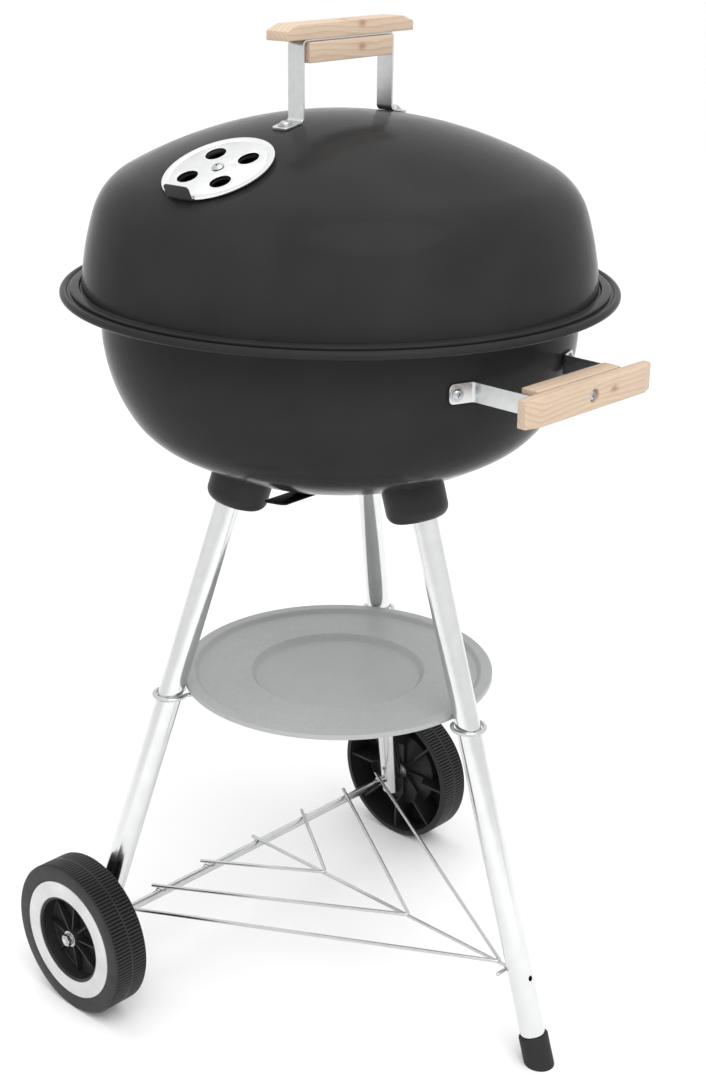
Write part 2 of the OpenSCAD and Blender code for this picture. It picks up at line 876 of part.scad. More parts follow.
// Shallow cap that follows the bowl's bottom, with three holes and a flat lever
module ash_damper() {
    skin_r = bowl_crown_r + gap + disc_t;
    color([0.09, 0.09, 0.09])
    difference() {
        union() {
            on_axis()
                rotate_extrude($fn = fine)
                    band(bowl_crown_c, skin_r, disc_t, -90, -90 + damper_a);
            translate([0, axis_y, crown_z])
                rotate([0, 0, lever_az])
                    rotate([0, 180 - lever_a, 0])
                        translate([-lever_l, -lever_w / 2, bowl_crown_r + gap])
                            cube([lever_l + 4, lever_w, disc_t]);
        }
        for (a = ash_az)
            translate([0, axis_y, crown_z])
                rotate([0, 0, a])
                    rotate([0, 180 - asin(ash_ring_r / bowl_crown_r), 0])
                        translate([0, 0, bowl_crown_r - 5])
                            cylinder(d = ash_hole_d, h = 15, $fn = mid);
        on_axis()
            translate([0, 0, ledge_z - bowl_depth - 8])
                cylinder(d = damper_bolt_d + 2 * pin_gap, h = 16, $fn = mid);
    }
}

module ash_damper_bolt() {
    color([0.7, 0.7, 0.72])
    translate([0, axis_y, ledge_z - bowl_depth - 2 * gap - disc_t])
        rotate([180, 0, 0])
            pan_screw(damper_head_d, damper_head_h, damper_bolt_d, 14);
}

module ash_damper_washer() {
    color([0.7, 0.7, 0.72])
    translate([0, axis_y, ledge_z - bowl_depth + shell_t + 0.1])
        washer(strap_washer_d, damper_bolt_d + bolt_clear, strap_washer_t);
}

module ash_damper_nut() {
    color([0.7, 0.7, 0.72])
    translate([0, axis_y, ledge_z - bowl_depth + shell_t + 0.1 + strap_washer_t])
        hex_nut(small_nut_af, small_nut_t, damper_bolt_d + nut_clear);
}

// ==== Grates ====

// Round grate: a ring with parallel wires
module grate(ring_r, ring_d, wire_d, pitch, z) {
    count = floor(0.93 * ring_r / pitch);
    translate([0, axis_y, z])
        union() {
            rotate_extrude($fn = fine)
                translate([ring_r, 0])
                    circle(d = ring_d, $fn = 24);
            for (i = [-count : count])
                rod(
                    [i * pitch, -sqrt(ring_r * ring_r - i * i * pitch * pitch), 0],
                    [i * pitch, sqrt(ring_r * ring_r - i * i * pitch * pitch), 0], wire_d);
        }
}

module charcoal_grate() {
    color([0.55, 0.55, 0.56])
    grate(charcoal_r, charcoal_ring_d, charcoal_wire_d, charcoal_pitch, charcoal_z);
}

module cooking_grate() {
    color([0.8, 0.8, 0.82])
    grate(cooking_r, cooking_ring_d, cooking_wire_d, cooking_pitch, cooking_z);
}

// ==== Lid ====

module lid_shell() {
    color([0.09, 0.09, 0.09])
    difference() {
        on_axis()
            rotate_extrude($fn = fine) {
                band(lid_side_c, lid_side_r, shell_t, lid_a0, lid_a1);
                band(lid_shoulder_c, lid_shoulder_r, shell_t, lid_a1 - lap, lid_a2 + lap);
                band(lid_crown_c, lid_crown_r, shell_t, lid_a2, 90);
                translate([lid_r - 2.4, lid_base_z])
                    square([flange_r - lid_r + 2.4, shell_t]);
            }
        on_crown(-vent_a) {
            for (a = [45, 135, 225, 315])
                rotate([0, 0, a])
                    translate([vent_ring_r, 0, lid_crown_r - 8])
                        cylinder(d = vent_hole_d, h = 16, $fn = mid);
            translate([0, 0, lid_crown_r - 8])
                cylinder(d = vent_screw_d + bolt_clear, h = 16, $fn = mid);
        }
        for (side = [-1, 1])
            on_crown(side * lid_foot_a)
                translate([side * screw_offset, 0, lid_crown_r - 8])
                    cylinder(d = handle_bolt_d + bolt_clear, h = 16, $fn = mid);
    }
}

module lid_handle_strap() {
    color([0.75, 0.76, 0.78])
    as_lid_handle()
        strap(lid_board_r, lid_crown_r + seat_lift, lid_foot_a);
}

module lid_handle_board() {
    color([0.86, 0.68, 0.5])
    as_lid_handle()
        board(lid_board_r);
}

module lid_handle_block() {
    color([0.86, 0.68, 0.5])
    as_lid_handle()
        block(lid_board_r);
}

module lid_handle_bolt() {
    color([0.75, 0.76, 0.78])
    as_lid_handle()
        handle_bolt(lid_board_r);
}

module lid_handle_nut() {
    color([0.75, 0.76, 0.78])
    as_lid_handle()
        handle_nut(lid_board_r);
}

module lid_strap_screws() {
    color([0.75, 0.76, 0.78])
    for (side = [-1, 1])
        on_crown(side * lid_foot_a)
            translate([side * screw_offset, 0, lid_crown_r + seat_lift + strap_t + strap_washer_t])
                pan_screw(strap_screw_d, strap_screw_h, handle_bolt_d, strap_screw_l);
}

module lid_strap_washers() {
    color([0.75, 0.76, 0.78])
    for (side = [-1, 1])
        on_crown(side * lid_foot_a)
            translate([side * screw_offset, 0, lid_crown_r + seat_lift + strap_t])
                washer(strap_washer_d, handle_bolt_d + bolt_clear, strap_washer_t);
}

module lid_strap_nuts() {
    color([0.75, 0.76, 0.78])
    for (side = [-1, 1])
        on_crown(side * lid_foot_a)
            translate([side * screw_offset, 0, lid_crown_r - shell_t - small_nut_t - 0.4])
                hex_nut(small_nut_af, small_nut_t, handle_bolt_d + nut_clear);
}

// Flat vent disc with four holes and a turned-up tab on its outer edge
module lid_vent_disc() {
    color([0.85, 0.86, 0.87])
    on_crown(-vent_a)
        translate([0, 0, lid_crown_r + gap])
            difference() {
                union() {
                    cylinder(d = vent_d, h = disc_t, $fn = fine);
                    translate([-vent_d / 2 - disc_t, -vent_tab_w / 2, 0])
                        cube([6, vent_tab_w, disc_t]);
                    translate([-vent_d / 2 - disc_t, -vent_tab_w / 2, 0])
                        cube([disc_t, vent_tab_w, vent_tab_h]);
                }
                for (a = [45, 135, 225, 315])
                    rotate([0, 0, a])
                        translate([vent_ring_r, 0, -1])
                            cylinder(d = vent_hole_d, h = disc_t + 2, $fn = mid);
                translate([0, 0, -1])
                    cylinder(d = vent_screw_d + 2 * pin_gap, h = disc_t + 2, $fn = mid);
            }
}

module lid_vent_screw() {
    color([0.8, 0.8, 0.82])
    on_crown(-vent_a)
        translate([0, 0, lid_crown_r + 2 * gap + disc_t])
            pan_screw(vent_head_d, vent_head_h, vent_screw_d, 14);
}

module lid_vent_spring() {
    color([0.7, 0.7, 0.72])
    on_crown(-vent_a)
        translate([0, 0, lid_crown_r - shell_t - spring_t - 0.4])
            washer(spring_d, vent_screw_d + bolt_clear, spring_t);
}

module lid_vent_nut() {
    color([0.7, 0.7, 0.72])
    on_crown(-vent_a)
        translate([0, 0, lid_crown_r - shell_t - spring_t - small_nut_t - 0.4])
            hex_nut(small_nut_af, small_nut_t, vent_screw_d + nut_clear);
}

bowl_shell();
bowl_handle_strap();
bowl_handle_board();
bowl_handle_block();
bowl_handle_bolt();
bowl_handle_nut();
bowl_strap_screws();
bowl_strap_washers();
bowl_strap_nuts();
grate_rests();
front_leg_socket();
left_leg_socket();
right_leg_socket();
leg_bolts();
leg_bolt_washers();
leg_inserts();
front_leg();
left_leg();
right_leg();
front_foot_cap();
ash_tray();
tray_hooks();
wire_shelf();
axle_rod();
axle_inner_washers();
axle_outer_washers();
axle_nuts();
left_wheel();
left_wheel_trim();
right_wheel();
right_wheel_trim();
ash_damper();
ash_damper_bolt();
ash_damper_washer();
ash_damper_nut();
charcoal_grate();
cooking_grate();
lid_shell();
lid_handle_strap();
lid_handle_board();
lid_handle_block();
lid_handle_bolt();
lid_handle_nut();
lid_strap_screws();
lid_strap_washers();
lid_strap_nuts();
lid_vent_disc();
lid_vent_screw();
lid_vent_spring();
lid_vent_nut();
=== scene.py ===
"""Kettle charcoal grill: the looks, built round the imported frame. Outlines are in millimetres, +Z up.

Sheets, straps, boards and discs have no holes for the screws and bolts that run through them.
"""
import json
import math

import bmesh
import bpy
from mathutils import Matrix, Vector


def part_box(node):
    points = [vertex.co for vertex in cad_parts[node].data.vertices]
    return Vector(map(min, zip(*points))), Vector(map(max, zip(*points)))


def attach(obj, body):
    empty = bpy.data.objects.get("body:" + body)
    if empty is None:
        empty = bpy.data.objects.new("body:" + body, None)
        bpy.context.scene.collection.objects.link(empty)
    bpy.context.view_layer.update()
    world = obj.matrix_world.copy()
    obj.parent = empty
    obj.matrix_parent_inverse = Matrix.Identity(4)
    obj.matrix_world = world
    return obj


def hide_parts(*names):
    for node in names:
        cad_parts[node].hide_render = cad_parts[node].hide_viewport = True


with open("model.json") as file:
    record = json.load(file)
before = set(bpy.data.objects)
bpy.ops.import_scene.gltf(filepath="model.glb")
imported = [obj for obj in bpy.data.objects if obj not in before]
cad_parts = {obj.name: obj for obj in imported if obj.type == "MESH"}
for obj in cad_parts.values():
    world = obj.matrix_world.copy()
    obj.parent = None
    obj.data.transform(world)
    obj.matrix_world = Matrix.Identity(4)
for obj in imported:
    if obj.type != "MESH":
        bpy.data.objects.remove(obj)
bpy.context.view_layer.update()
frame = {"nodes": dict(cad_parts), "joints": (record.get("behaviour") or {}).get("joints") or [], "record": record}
scene = bpy.context.scene

MM = 0.001
STEEL_BODY = "stand_and_bowl"


# ---- Sizes, from the frame ----

def box_mm(node):
    """Lowest and highest corner of a CAD node, in millimetres."""
    low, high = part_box(node)
    return low / MM, high / MM


bowl_low, bowl_high = box_mm("bowl_shell")
lid_low, lid_high = box_mm("lid_shell")
tray_low, tray_high = box_mm("ash_tray")
wheel_low, wheel_high = box_mm("right_wheel")
vent_joint = next(j for j in frame["joints"] if j["name"] == "lid_vent_turn")
foot_mount = frame["record"]["mounts"][0]["pos_m"]

AXIS_Y = (bowl_low.y + bowl_high.y) / 2
RIM_R = (bowl_high.x - bowl_low.x) / 2
BEAD_R = 3.5
BEAD_DROP = 2
LEDGE_Z = bowl_high.z - BEAD_R + BEAD_DROP
BOWL_DEPTH = LEDGE_Z - bowl_low.z
LID_BASE_Z = lid_low.z
LID_HEIGHT = lid_high.z - LEDGE_Z
FLANGE_R = (lid_high.x - lid_low.x) / 2
SHEET = 1.5
LID_TURN = 4
SCALE = RIM_R / 235
LEDGE_W = 33.3 * SCALE
LID_INSET = 18 * SCALE
WALL_R = RIM_R - LEDGE_W
LID_R = RIM_R - LID_INSET

FOOT_REACH = AXIS_Y - foot_mount[1] / MM
LEG_TURN = 119
LEG_R = 11
LEG_WALL = 1.2
LEG_AZIMUTHS = {"front": -90, "left": -90 - LEG_TURN, "right": -90 + LEG_TURN}

WHEEL_R = (wheel_high.z - wheel_low.z) / 2
WHEEL_IN = wheel_low.x
WHEEL_OUT = wheel_high.x
AXLE_Y = (wheel_low.y + wheel_high.y) / 2
AXLE_Z = (wheel_low.z + wheel_high.z) / 2
AXLE_R = 4


# ---- Outlines: lists of (across, up) points ----

def unit(angle):
    return Vector((math.cos(math.radians(angle)), math.sin(math.radians(angle))))


def bearing(centre, point):
    return math.degrees(math.atan2(point[1] - centre[1], point[0] - centre[0]))


def meet(c1, r1, c2, r2):
    """The crossing point, on the side away from the axis, of two circles."""
    c1, c2 = Vector(c1), Vector(c2)
    way = c2 - c1
    along = (r1 * r1 - r2 * r2 + way.length_squared) / (2 * way.length)
    off = math.sqrt(r1 * r1 - along * along)
    side = Vector((-way.y, way.x)).normalized() * off
    middle = c1 + way.normalized() * along
    return max(middle + side, middle - side, key=lambda p: p.x)


def arc(centre, radius, start, end, steps=8):
    return [Vector(centre) + radius * unit(start + (end - start) * i / steps) for i in range(steps + 1)]


def rounded(points, radius, steps=4, closed=True):
    """The polyline with its corners rounded; radius is one number or one for each point."""
    points = [Vector(p) for p in points]
    count = len(points)
    radii = radius if isinstance(radius, (list, tuple)) else [radius] * count
    out = []
    for i, point in enumerate(points):
        if not closed and i in (0, count - 1):
            out.append(point)
            continue
        before = points[i - 1] - point
        after = points[(i + 1) % count] - point
        half = before.angle(after) / 2
        if radii[i] <= 0 or half > math.radians(88):
            out.append(point)
            continue
        reach = min(radii[i] / math.tan(half), 0.49 * before.length, 0.49 * after.length)
        a = point + before.normalized() * reach
        b = point + after.normalized() * reach
        for k in range(steps + 1):
            t = k / steps
            out.append(a * (1 - t) ** 2 + point * 2 * t * (1 - t) + b * t * t)
    return out


# The bowl's and lid's walls: three arcs each, tangent to one another
BOWL_SIDE_R = 0.837 * BOWL_DEPTH
BOWL_CORNER_R = 76 * SCALE
BOWL_CROWN_R = 302 * SCALE
BOWL_SIDE_C = (WALL_R - BOWL_SIDE_R, LEDGE_Z - 0.17 * BOWL_DEPTH)
BOWL_CROWN_C = (0, LEDGE_Z - BOWL_DEPTH + BOWL_CROWN_R)
BOWL_CORNER_C = meet(BOWL_SIDE_C, BOWL_SIDE_R - BOWL_CORNER_R, BOWL_CROWN_C, BOWL_CROWN_R - BOWL_CORNER_R)
BOWL_A1 = bearing(BOWL_SIDE_C, BOWL_CORNER_C)
BOWL_A2 = bearing(BOWL_CROWN_C, BOWL_CORNER_C)

LID_SIDE_R = 1.736 * LID_HEIGHT
LID_SHOULDER_R = 56 * SCALE
LID_CROWN_R = 368 * SCALE
LID_SKIRT = 13.5
LID_SIDE_C = (LID_R - LID_SIDE_R, LEDGE_Z - LID_SKIRT)
LID_CROWN_C = (0, LEDGE_Z + LID_HEIGHT - LID_CROWN_R)
LID_SHOULDER_C = meet(LID_SIDE_C, LID_SIDE_R - LID_SHOULDER_R, LID_CROWN_C, LID_CROWN_R - LID_SHOULDER_R)
LID_A1 = bearing(LID_SIDE_C, LID_SHOULDER_C)
LID_A2 = bearing(LID_CROWN_C, LID_SHOULDER_C)

CROWN_Z = BOWL_CROWN_C[1]
LEG_TILT = math.degrees(math.atan2(FOOT_REACH, CROWN_Z))


def bowl_wall(inset, rising):
    """The bowl's wall from its bottom to the height of the side arc's centre, moved in by inset."""
    points = arc(BOWL_CROWN_C, BOWL_CROWN_R - inset, -90, BOWL_A2, 36)
    points += arc(BOWL_CORNER_C, BOWL_CORNER_R - inset, BOWL_A2, BOWL_A1, 28)[1:]
    points += arc(BOWL_SIDE_C, BOWL_SIDE_R - inset, BOWL_A1, 0, 16)[1:]
    return points if rising else points[::-1]


def lid_wall(inset, foot_z, rising):
    """The lid's wall from height foot_z to its top, moved in by inset."""
    radius = LID_SIDE_R - inset
    foot = math.degrees(math.asin((foot_z - LID_SIDE_C[1]) / radius))
    points = arc(LID_SIDE_C, radius, foot, LID_A1, 16)
    points += arc(LID_SHOULDER_C, LID_SHOULDER_R - inset, LID_A1, LID_A2, 28)[1:]
    points += arc(LID_CROWN_C, LID_CROWN_R - inset, LID_A2, 90, 36)[1:]
    return points if rising else points[::-1]


def leg_rho(z):
    """Distance of a leg's axis from the kettle's axis at height z."""
    return (CROWN_Z - z) * math.tan(math.radians(LEG_TILT))


def leg_s(z):
    """Distance down a leg from the bowl's crown centre to height z."""
    return (CROWN_Z - z) / math.cos(math.radians(LEG_TILT))


# ---- Places: matrices in millimetres ----

def turn(angle, axis):
    return Matrix.Rotation(math.radians(angle), 4, axis)


def shift(x, y, z):
    return Matrix.Translation((x, y, z))


KETTLE = shift(0, AXIS_Y, 0)
LID = KETTLE @ turn(LID_TURN, "Z")
LID_CROWN = LID @ shift(0, 0, LID_CROWN_C[1])
LID_GRIP = LID_CROWN @ turn(90, "X")
VENT_TILT = math.degrees(math.acos(vent_joint["axis"][2]))
VENT = LID_CROWN @ turn(-VENT_TILT, "Y") @ shift(0, 0, LID_CROWN_R)
BOWL_STRAP_Z = sum(c.z for c in box_mm("bowl_handle_strap")) / 2
BOWL_GRIP = shift(0, AXIS_Y, BOWL_STRAP_Z) @ turn(180, "Z")


def on_leg(azimuth):
    """+Z runs down the leg from the bowl's crown centre, +X leans to the axis."""
    return shift(0, AXIS_Y, CROWN_Z) @ turn(azimuth, "Z") @ turn(180 - LEG_TILT, "Y")


def on_axle(side):
    return shift(0, AXLE_Y, AXLE_Z) @ turn(90 * side, "Y")


def on_wall(angle):
    """At the bowl strap's height, +Z pointing out at angle from the front."""
    return shift(0, AXIS_Y, BOWL_STRAP_Z) @ turn(angle, "Z") @ turn(90, "X")


# ---- Mesh tools: each adds a closed skin to a bmesh ----

def loft(bm, rings, place=Matrix(), ends="cap"):
    """Skins equal closed rings of points; ends are capped, or joined last to first."""
    rows = [[bm.verts.new(place @ Vector(p)) for p in ring] for ring in rings]
    count = len(rows[0])
    pairs = list(zip(rows, rows[1:])) + ([(rows[-1], rows[0])] if ends == "join" else [])
    for low, high in pairs:
        for j in range(count):
            k = (j + 1) % count
            bm.faces.new((low[j], low[k], high[k], high[j]))
    if ends == "cap":
        bm.faces.new(rows[0][::-1])
        bm.faces.new(rows[-1])


def ring_at(radius, z, steps):
    return [(radius * math.cos(2 * math.pi * j / steps), radius * math.sin(2 * math.pi * j / steps), z)
            for j in range(steps)]


def lathe(bm, outline, steps=96, place=Matrix()):
    """Turns a closed outline of (radius, z) points about Z."""
    loft(bm, [ring_at(max(r, 0), z, steps) for r, z in outline], place, "join")


def washer(bm, radius, hole, low, high, edge, place=Matrix()):
    """A flat ring with softened edges."""
    outline = [(hole, low), (radius, low), (radius, high), (hole, high)]
    lathe(bm, rounded(outline, edge, 3), 48, place)


def prism(bm, outline, low, high, place=Matrix()):
    loft(bm, [[(x, y, z) for x, y in outline] for z in (low, high)], place)


def circle(radius, steps=16):
    return [radius * unit(360 * i / steps) for i in range(steps)]


def sweep(bm, path, radius, place=Matrix(), steps=14):
    """A round wire along a path, its cut ends slightly rounded."""
    path = [Vector(p) for p in path]
    first, last = (path[1] - path[0]).normalized(), (path[-1] - path[-2]).normalized()
    tip, tip_r = 0.35 * radius, 0.72 * radius
    path = [path[0], path[0] + first * tip] + path[1:-1] + [path[-1] - last * tip, path[-1]]
    side = first.orthogonal().normalized()
    rings = []
    for i, point in enumerate(path):
        way = (path[min(i + 1, len(path) - 1)] - path[max(i - 1, 0)]).normalized()
        side = (side - way * side.dot(way)).normalized()
        other = way.cross(side)
        size = tip_r if i in (0, len(path) - 1) else radius
        rings.append([point + side * p.x * size + other * p.y * size for p in circle(1, steps)])
    loft(bm, rings, place)


def strip(bm, path, width, thick, corner, place=Matrix(), edge=0.35):
    """A flat bar bent along a path in the XY plane, its width along Z, its ends' corners rounded."""
    path = [Vector(p) for p in path]
    steps = 6
    reaches = [corner * (1 - math.cos(math.radians(90 * k / steps))) for k in range(steps + 1)]
    first, last = (path[1] - path[0]).normalized(), (path[-1] - path[-2]).normalized()
    path = ([path[0] + first * s for s in reaches] + path[1:-1]
            + [path[-1] - last * s for s in reversed(reaches)])
    rings = []
    for i, point in enumerate(path):
        way = (path[min(i + 1, len(path) - 1)] - path[max(i - 1, 0)]).normalized()
        across = Vector((-way.y, way.x))
        reach = reaches[min(i, len(path) - 1 - i, steps)]
        half = width / 2 - corner + math.sqrt(max(0, corner ** 2 - (corner - reach) ** 2))
        section = [(-thick / 2, -half), (thick / 2, -half), (thick / 2, half), (-thick / 2, half)]
        rings.append([(*(point + across * a), z) for a, z in rounded(section, edge, 3)])
    loft(bm, rings, place)


def hexagon_nut(bm, across_flats, height, hole, place=Matrix()):
    """A hex nut with its corners turned off at both faces, its hole with a lead-in."""
    steps, flat, chamfer, slope, lead = 72, across_flats / 2, 0.25, 0.55, 0.4
    corners = [flat / math.cos(math.radians((360 * j / steps + 30) % 60 - 30)) for j in range(steps)]
    sides = []
    for z, way in ((0, slope), (height, -slope)):
        sides.append([(*(unit(360 * j / steps) * corner), z + way * (corner - flat + chamfer))
                      for j, corner in enumerate(corners)])
    rings = [ring_at(flat - chamfer, 0, steps), *sides, ring_at(flat - chamfer, height, steps),
             ring_at(hole + lead, height, steps), ring_at(hole, height - lead, steps),
             ring_at(hole, lead, steps), ring_at(hole + lead, 0, steps)]
    loft(bm, rings, place, "join")


def pan_head(bm, radius, height, shank_r, shank_l, place=Matrix()):
    """A domed screw head on its shank; the cross recess is carved later."""
    dome_r = 1.6 * radius
    dome = arc((0, height - dome_r), dome_r, 90, 62, 6)
    outline = dome + rounded([dome[-1], (radius, 0.5), (radius, 0), (shank_r, 0)], 0.4, 3, closed=False)[1:]
    outline += [(shank_r, -shank_l + 0.5), (shank_r - 0.5, -shank_l), (0, -shank_l)]
    lathe(bm, outline, 48, place)


def cross_recess(bm, radius, height, place=Matrix()):
    """The tapering cross that a screwdriver fits, from its floor to just above the head."""
    depth, above = 1.5, 1
    rings = []
    for z, arm, half in ((height - depth, 0.28 * radius, 0.4), (height + above, 0.55 * radius, 0.6)):
        corner = [(arm, -half), (arm, half), (half, half)]
        ring = []
        for _ in range(4):
            ring += [(x, y, z) for x, y in corner]
            corner = [(-y, x) for x, y in corner]
        rings.append(ring)
    loft(bm, rings, place)


# ---- Pieces ----

def subtract(piece, bm):
    """Takes the closed shapes in bm, which is used up, away from piece."""
    mesh = bpy.data.meshes.new("cutter")
    bmesh.ops.recalc_face_normals(bm, faces=bm.faces)
    bm.to_mesh(mesh)
    bm.free()
    mesh.transform(Matrix.Scale(MM, 4))
    cutter = bpy.data.objects.new("cutter", mesh)
    scene.collection.objects.link(cutter)
    cutter.matrix_world = piece.matrix_world
    modifier = piece.modifiers.new("carve", "BOOLEAN")
    modifier.operation = "DIFFERENCE"
    modifier.solver = "EXACT"
    modifier.object = cutter
    bpy.context.view_layer.update()
    evaluated = piece.evaluated_get(bpy.context.evaluated_depsgraph_get())
    carved = bpy.data.meshes.new_from_object(evaluated)
    piece.modifiers.clear()
    piece.data = carved
    bpy.data.objects.remove(cutter)


def soften(piece, width):
    """Bevels the piece's sharp edges by width millimetres."""
    bm = bmesh.new()
    bm.from_mesh(piece.data)
    sharp = [e for e in bm.edges if len(e.link_faces) == 2 and e.calc_face_angle(0) > math.radians(28)]
    bmesh.ops.bevel(bm, geom=sharp, offset=width * MM, segments=3, profile=0.5, affect="EDGES",
                    clamp_overlap=True)
    bm.to_mesh(piece.data)
    bm.free()


def add(name, bm, material, replaces, body=STEEL_BODY, place=Matrix(), carve=None, soft=0, sharp=38):
    """Makes bm, drawn in millimetres at place, a piece that rides on body and replaces CAD nodes."""
    bmesh.ops.remove_doubles(bm, verts=bm.verts, dist=1e-4)
    bmesh.ops.recalc_face_normals(bm, faces=bm.faces)
    mesh = bpy.data.meshes.new(name)
    bm.to_mesh(mesh)
    bm.free()
    mesh.transform(Matrix.Scale(MM, 4))
    mesh.materials.append(material)
    piece = bpy.data.objects.new(name, mesh)
    scene.collection.objects.link(piece)
    world = place.copy()
    world.translation *= MM
    piece.matrix_world = world
    if carve:
        subtract(piece, carve)
    if soft:
        soften(piece, soft)
    piece.data.shade_smooth()
    piece.data.set_sharp_from_angle(angle=math.radians(sharp))
    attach(piece, body)
    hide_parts(*replaces)
    return piece


# ---- Materials ----

class Shader:
    """A node tree round one Principled shader."""

    def __init__(self, name, **uniform):
        self.material = bpy.data.materials.new(name)
        self.material.use_nodes = True
        self.nodes = self.material.node_tree.nodes
        self.links = self.material.node_tree.links
        self.main = self.nodes["Principled BSDF"]
        self.place = self.nodes.new("ShaderNodeTexCoord").outputs["Object"]
        for socket, value in uniform.items():
            self.main.inputs[socket.replace("_", " ")].default_value = value

    def node(self, kind, **settings):
        made = self.nodes.new("ShaderNode" + kind)
        for name, value in settings.items():
            if name in made.inputs:
                made.inputs[name].default_value = value
            else:
                setattr(made, name, value)
        return made

    def mapped(self, scale=(1, 1, 1), location=(0, 0, 0)):
        made = self.node("Mapping")
        made.inputs["Scale"].default_value = scale
        made.inputs["Location"].default_value = location
        self.links.new(self.place, made.inputs["Vector"])
        return made.outputs["Vector"]

    def noise(self, scale, detail=3.0, rough=0.5, stretch=(1, 1, 1)):
        made = self.node("TexNoise", Scale=scale, Detail=detail, Roughness=rough)
        self.links.new(self.mapped(stretch), made.inputs["Vector"])
        return made.outputs["Fac"]

    def ramp(self, value, *stops):
        """A colour or grey for each (position, colour) stop."""
        made = self.node("ValToRGB")
        elements = made.color_ramp.elements
        while len(elements) < len(stops):
            elements.new(0.5)
        for element, (position, colour) in zip(elements, stops):
            element.position = position
            grey = isinstance(colour, (int, float))
            element.color = (colour, colour, colour, 1) if grey else (*colour, 1)
        self.links.new(value, made.inputs["Fac"])
        return made.outputs["Color"]

    def mix(self, factor, a, b, blend="MIX"):
        made = self.node("Mix", data_type="RGBA", blend_type=blend)
        for socket, value in (("Factor", factor), ("A", a), ("B", b)):
            target = next(s for s in made.inputs
                          if s.name == socket and s.enabled and s.type in ("RGBA", "VALUE"))
            if hasattr(value, "is_output"):
                self.links.new(value, target)
            else:
                target.default_value = value
        return next(s for s in made.outputs if s.enabled)

    def bump(self, *layers):
        """Stacks (height, strength, depth in metres) layers."""
        normal = None
        for height, strength, depth in layers:
            made = self.node("Bump", Strength=strength, Distance=depth)
            self.links.new(height, made.inputs["Height"])
            if normal:
                self.links.new(normal, made.inputs["Normal"])
            normal = made.outputs["Normal"]
        self.links.new(normal, self.main.inputs["Normal"])

    def feed(self, socket, value):
        self.links.new(value, self.main.inputs[socket])


def black_enamel():
    s = Shader("black_enamel", IOR=1.09, Metallic=0.0)
    s.feed("Base Color", s.ramp(s.noise(14, 4), (0.3, (0.0235, 0.0235, 0.024)), (0.7, 0.029)))
    s.feed("Roughness", s.ramp(s.noise(60, 5, 0.6), (0.3, 0.12), (0.7, 0.22)))
    s.bump((s.noise(150, 3), 0.4, 0.0003), (s.noise(900, 2), 0.15, 0.00005))
    return s.material


def satin_enamel():
    s = Shader("socket_enamel", IOR=1.25, Metallic=0.0)
    s.feed("Base Color", s.ramp(s.noise(30, 4), (0.3, 0.024), (0.7, 0.031)))
    s.feed("Roughness", s.ramp(s.noise(120, 4), (0.3, 0.36), (0.7, 0.46)))
    s.bump((s.noise(1200, 3), 0.2, 0.00004),)
    return s.material


def metal(name, colour, rough, spread, grain, stretch=(1, 1, 1), depth=0.00002):
    """Plated or brushed metal: its grain is a noise, stretched along the rolling direction."""
    s = Shader(name, Metallic=1.0)
    dark = tuple(c * 0.93 for c in colour)
    s.feed("Base Color", s.ramp(s.noise(grain * 0.2, 3), (0.3, dark), (0.7, colour)))
    fine = s.noise(grain, 4, 0.6, stretch)
    s.feed("Roughness", s.ramp(fine, (0.25, rough), (0.75, rough + spread)))
    s.bump((fine, 0.25, depth),)
    return s.material


def tray_enamel():
    s = Shader("tray_enamel", IOR=1.45, Metallic=0.0)
    speckle = s.ramp(s.noise(1700, 2, 0.7), (0.40, (0.32, 0.328, 0.326)), (0.5, (0.385, 0.394, 0.392)),
                     (0.62, (0.45, 0.459, 0.457)))
    cloud = s.ramp(s.noise(9, 4), (0.3, 0.93), (0.7, 1.0))
    s.feed("Base Color", s.mix(1.0, speckle, cloud, "MULTIPLY"))
    s.feed("Roughness", s.ramp(s.noise(80, 4), (0.3, 0.34), (0.7, 0.46)))
    s.bump((s.noise(900, 3), 0.25, 0.00005),)
    return s.material


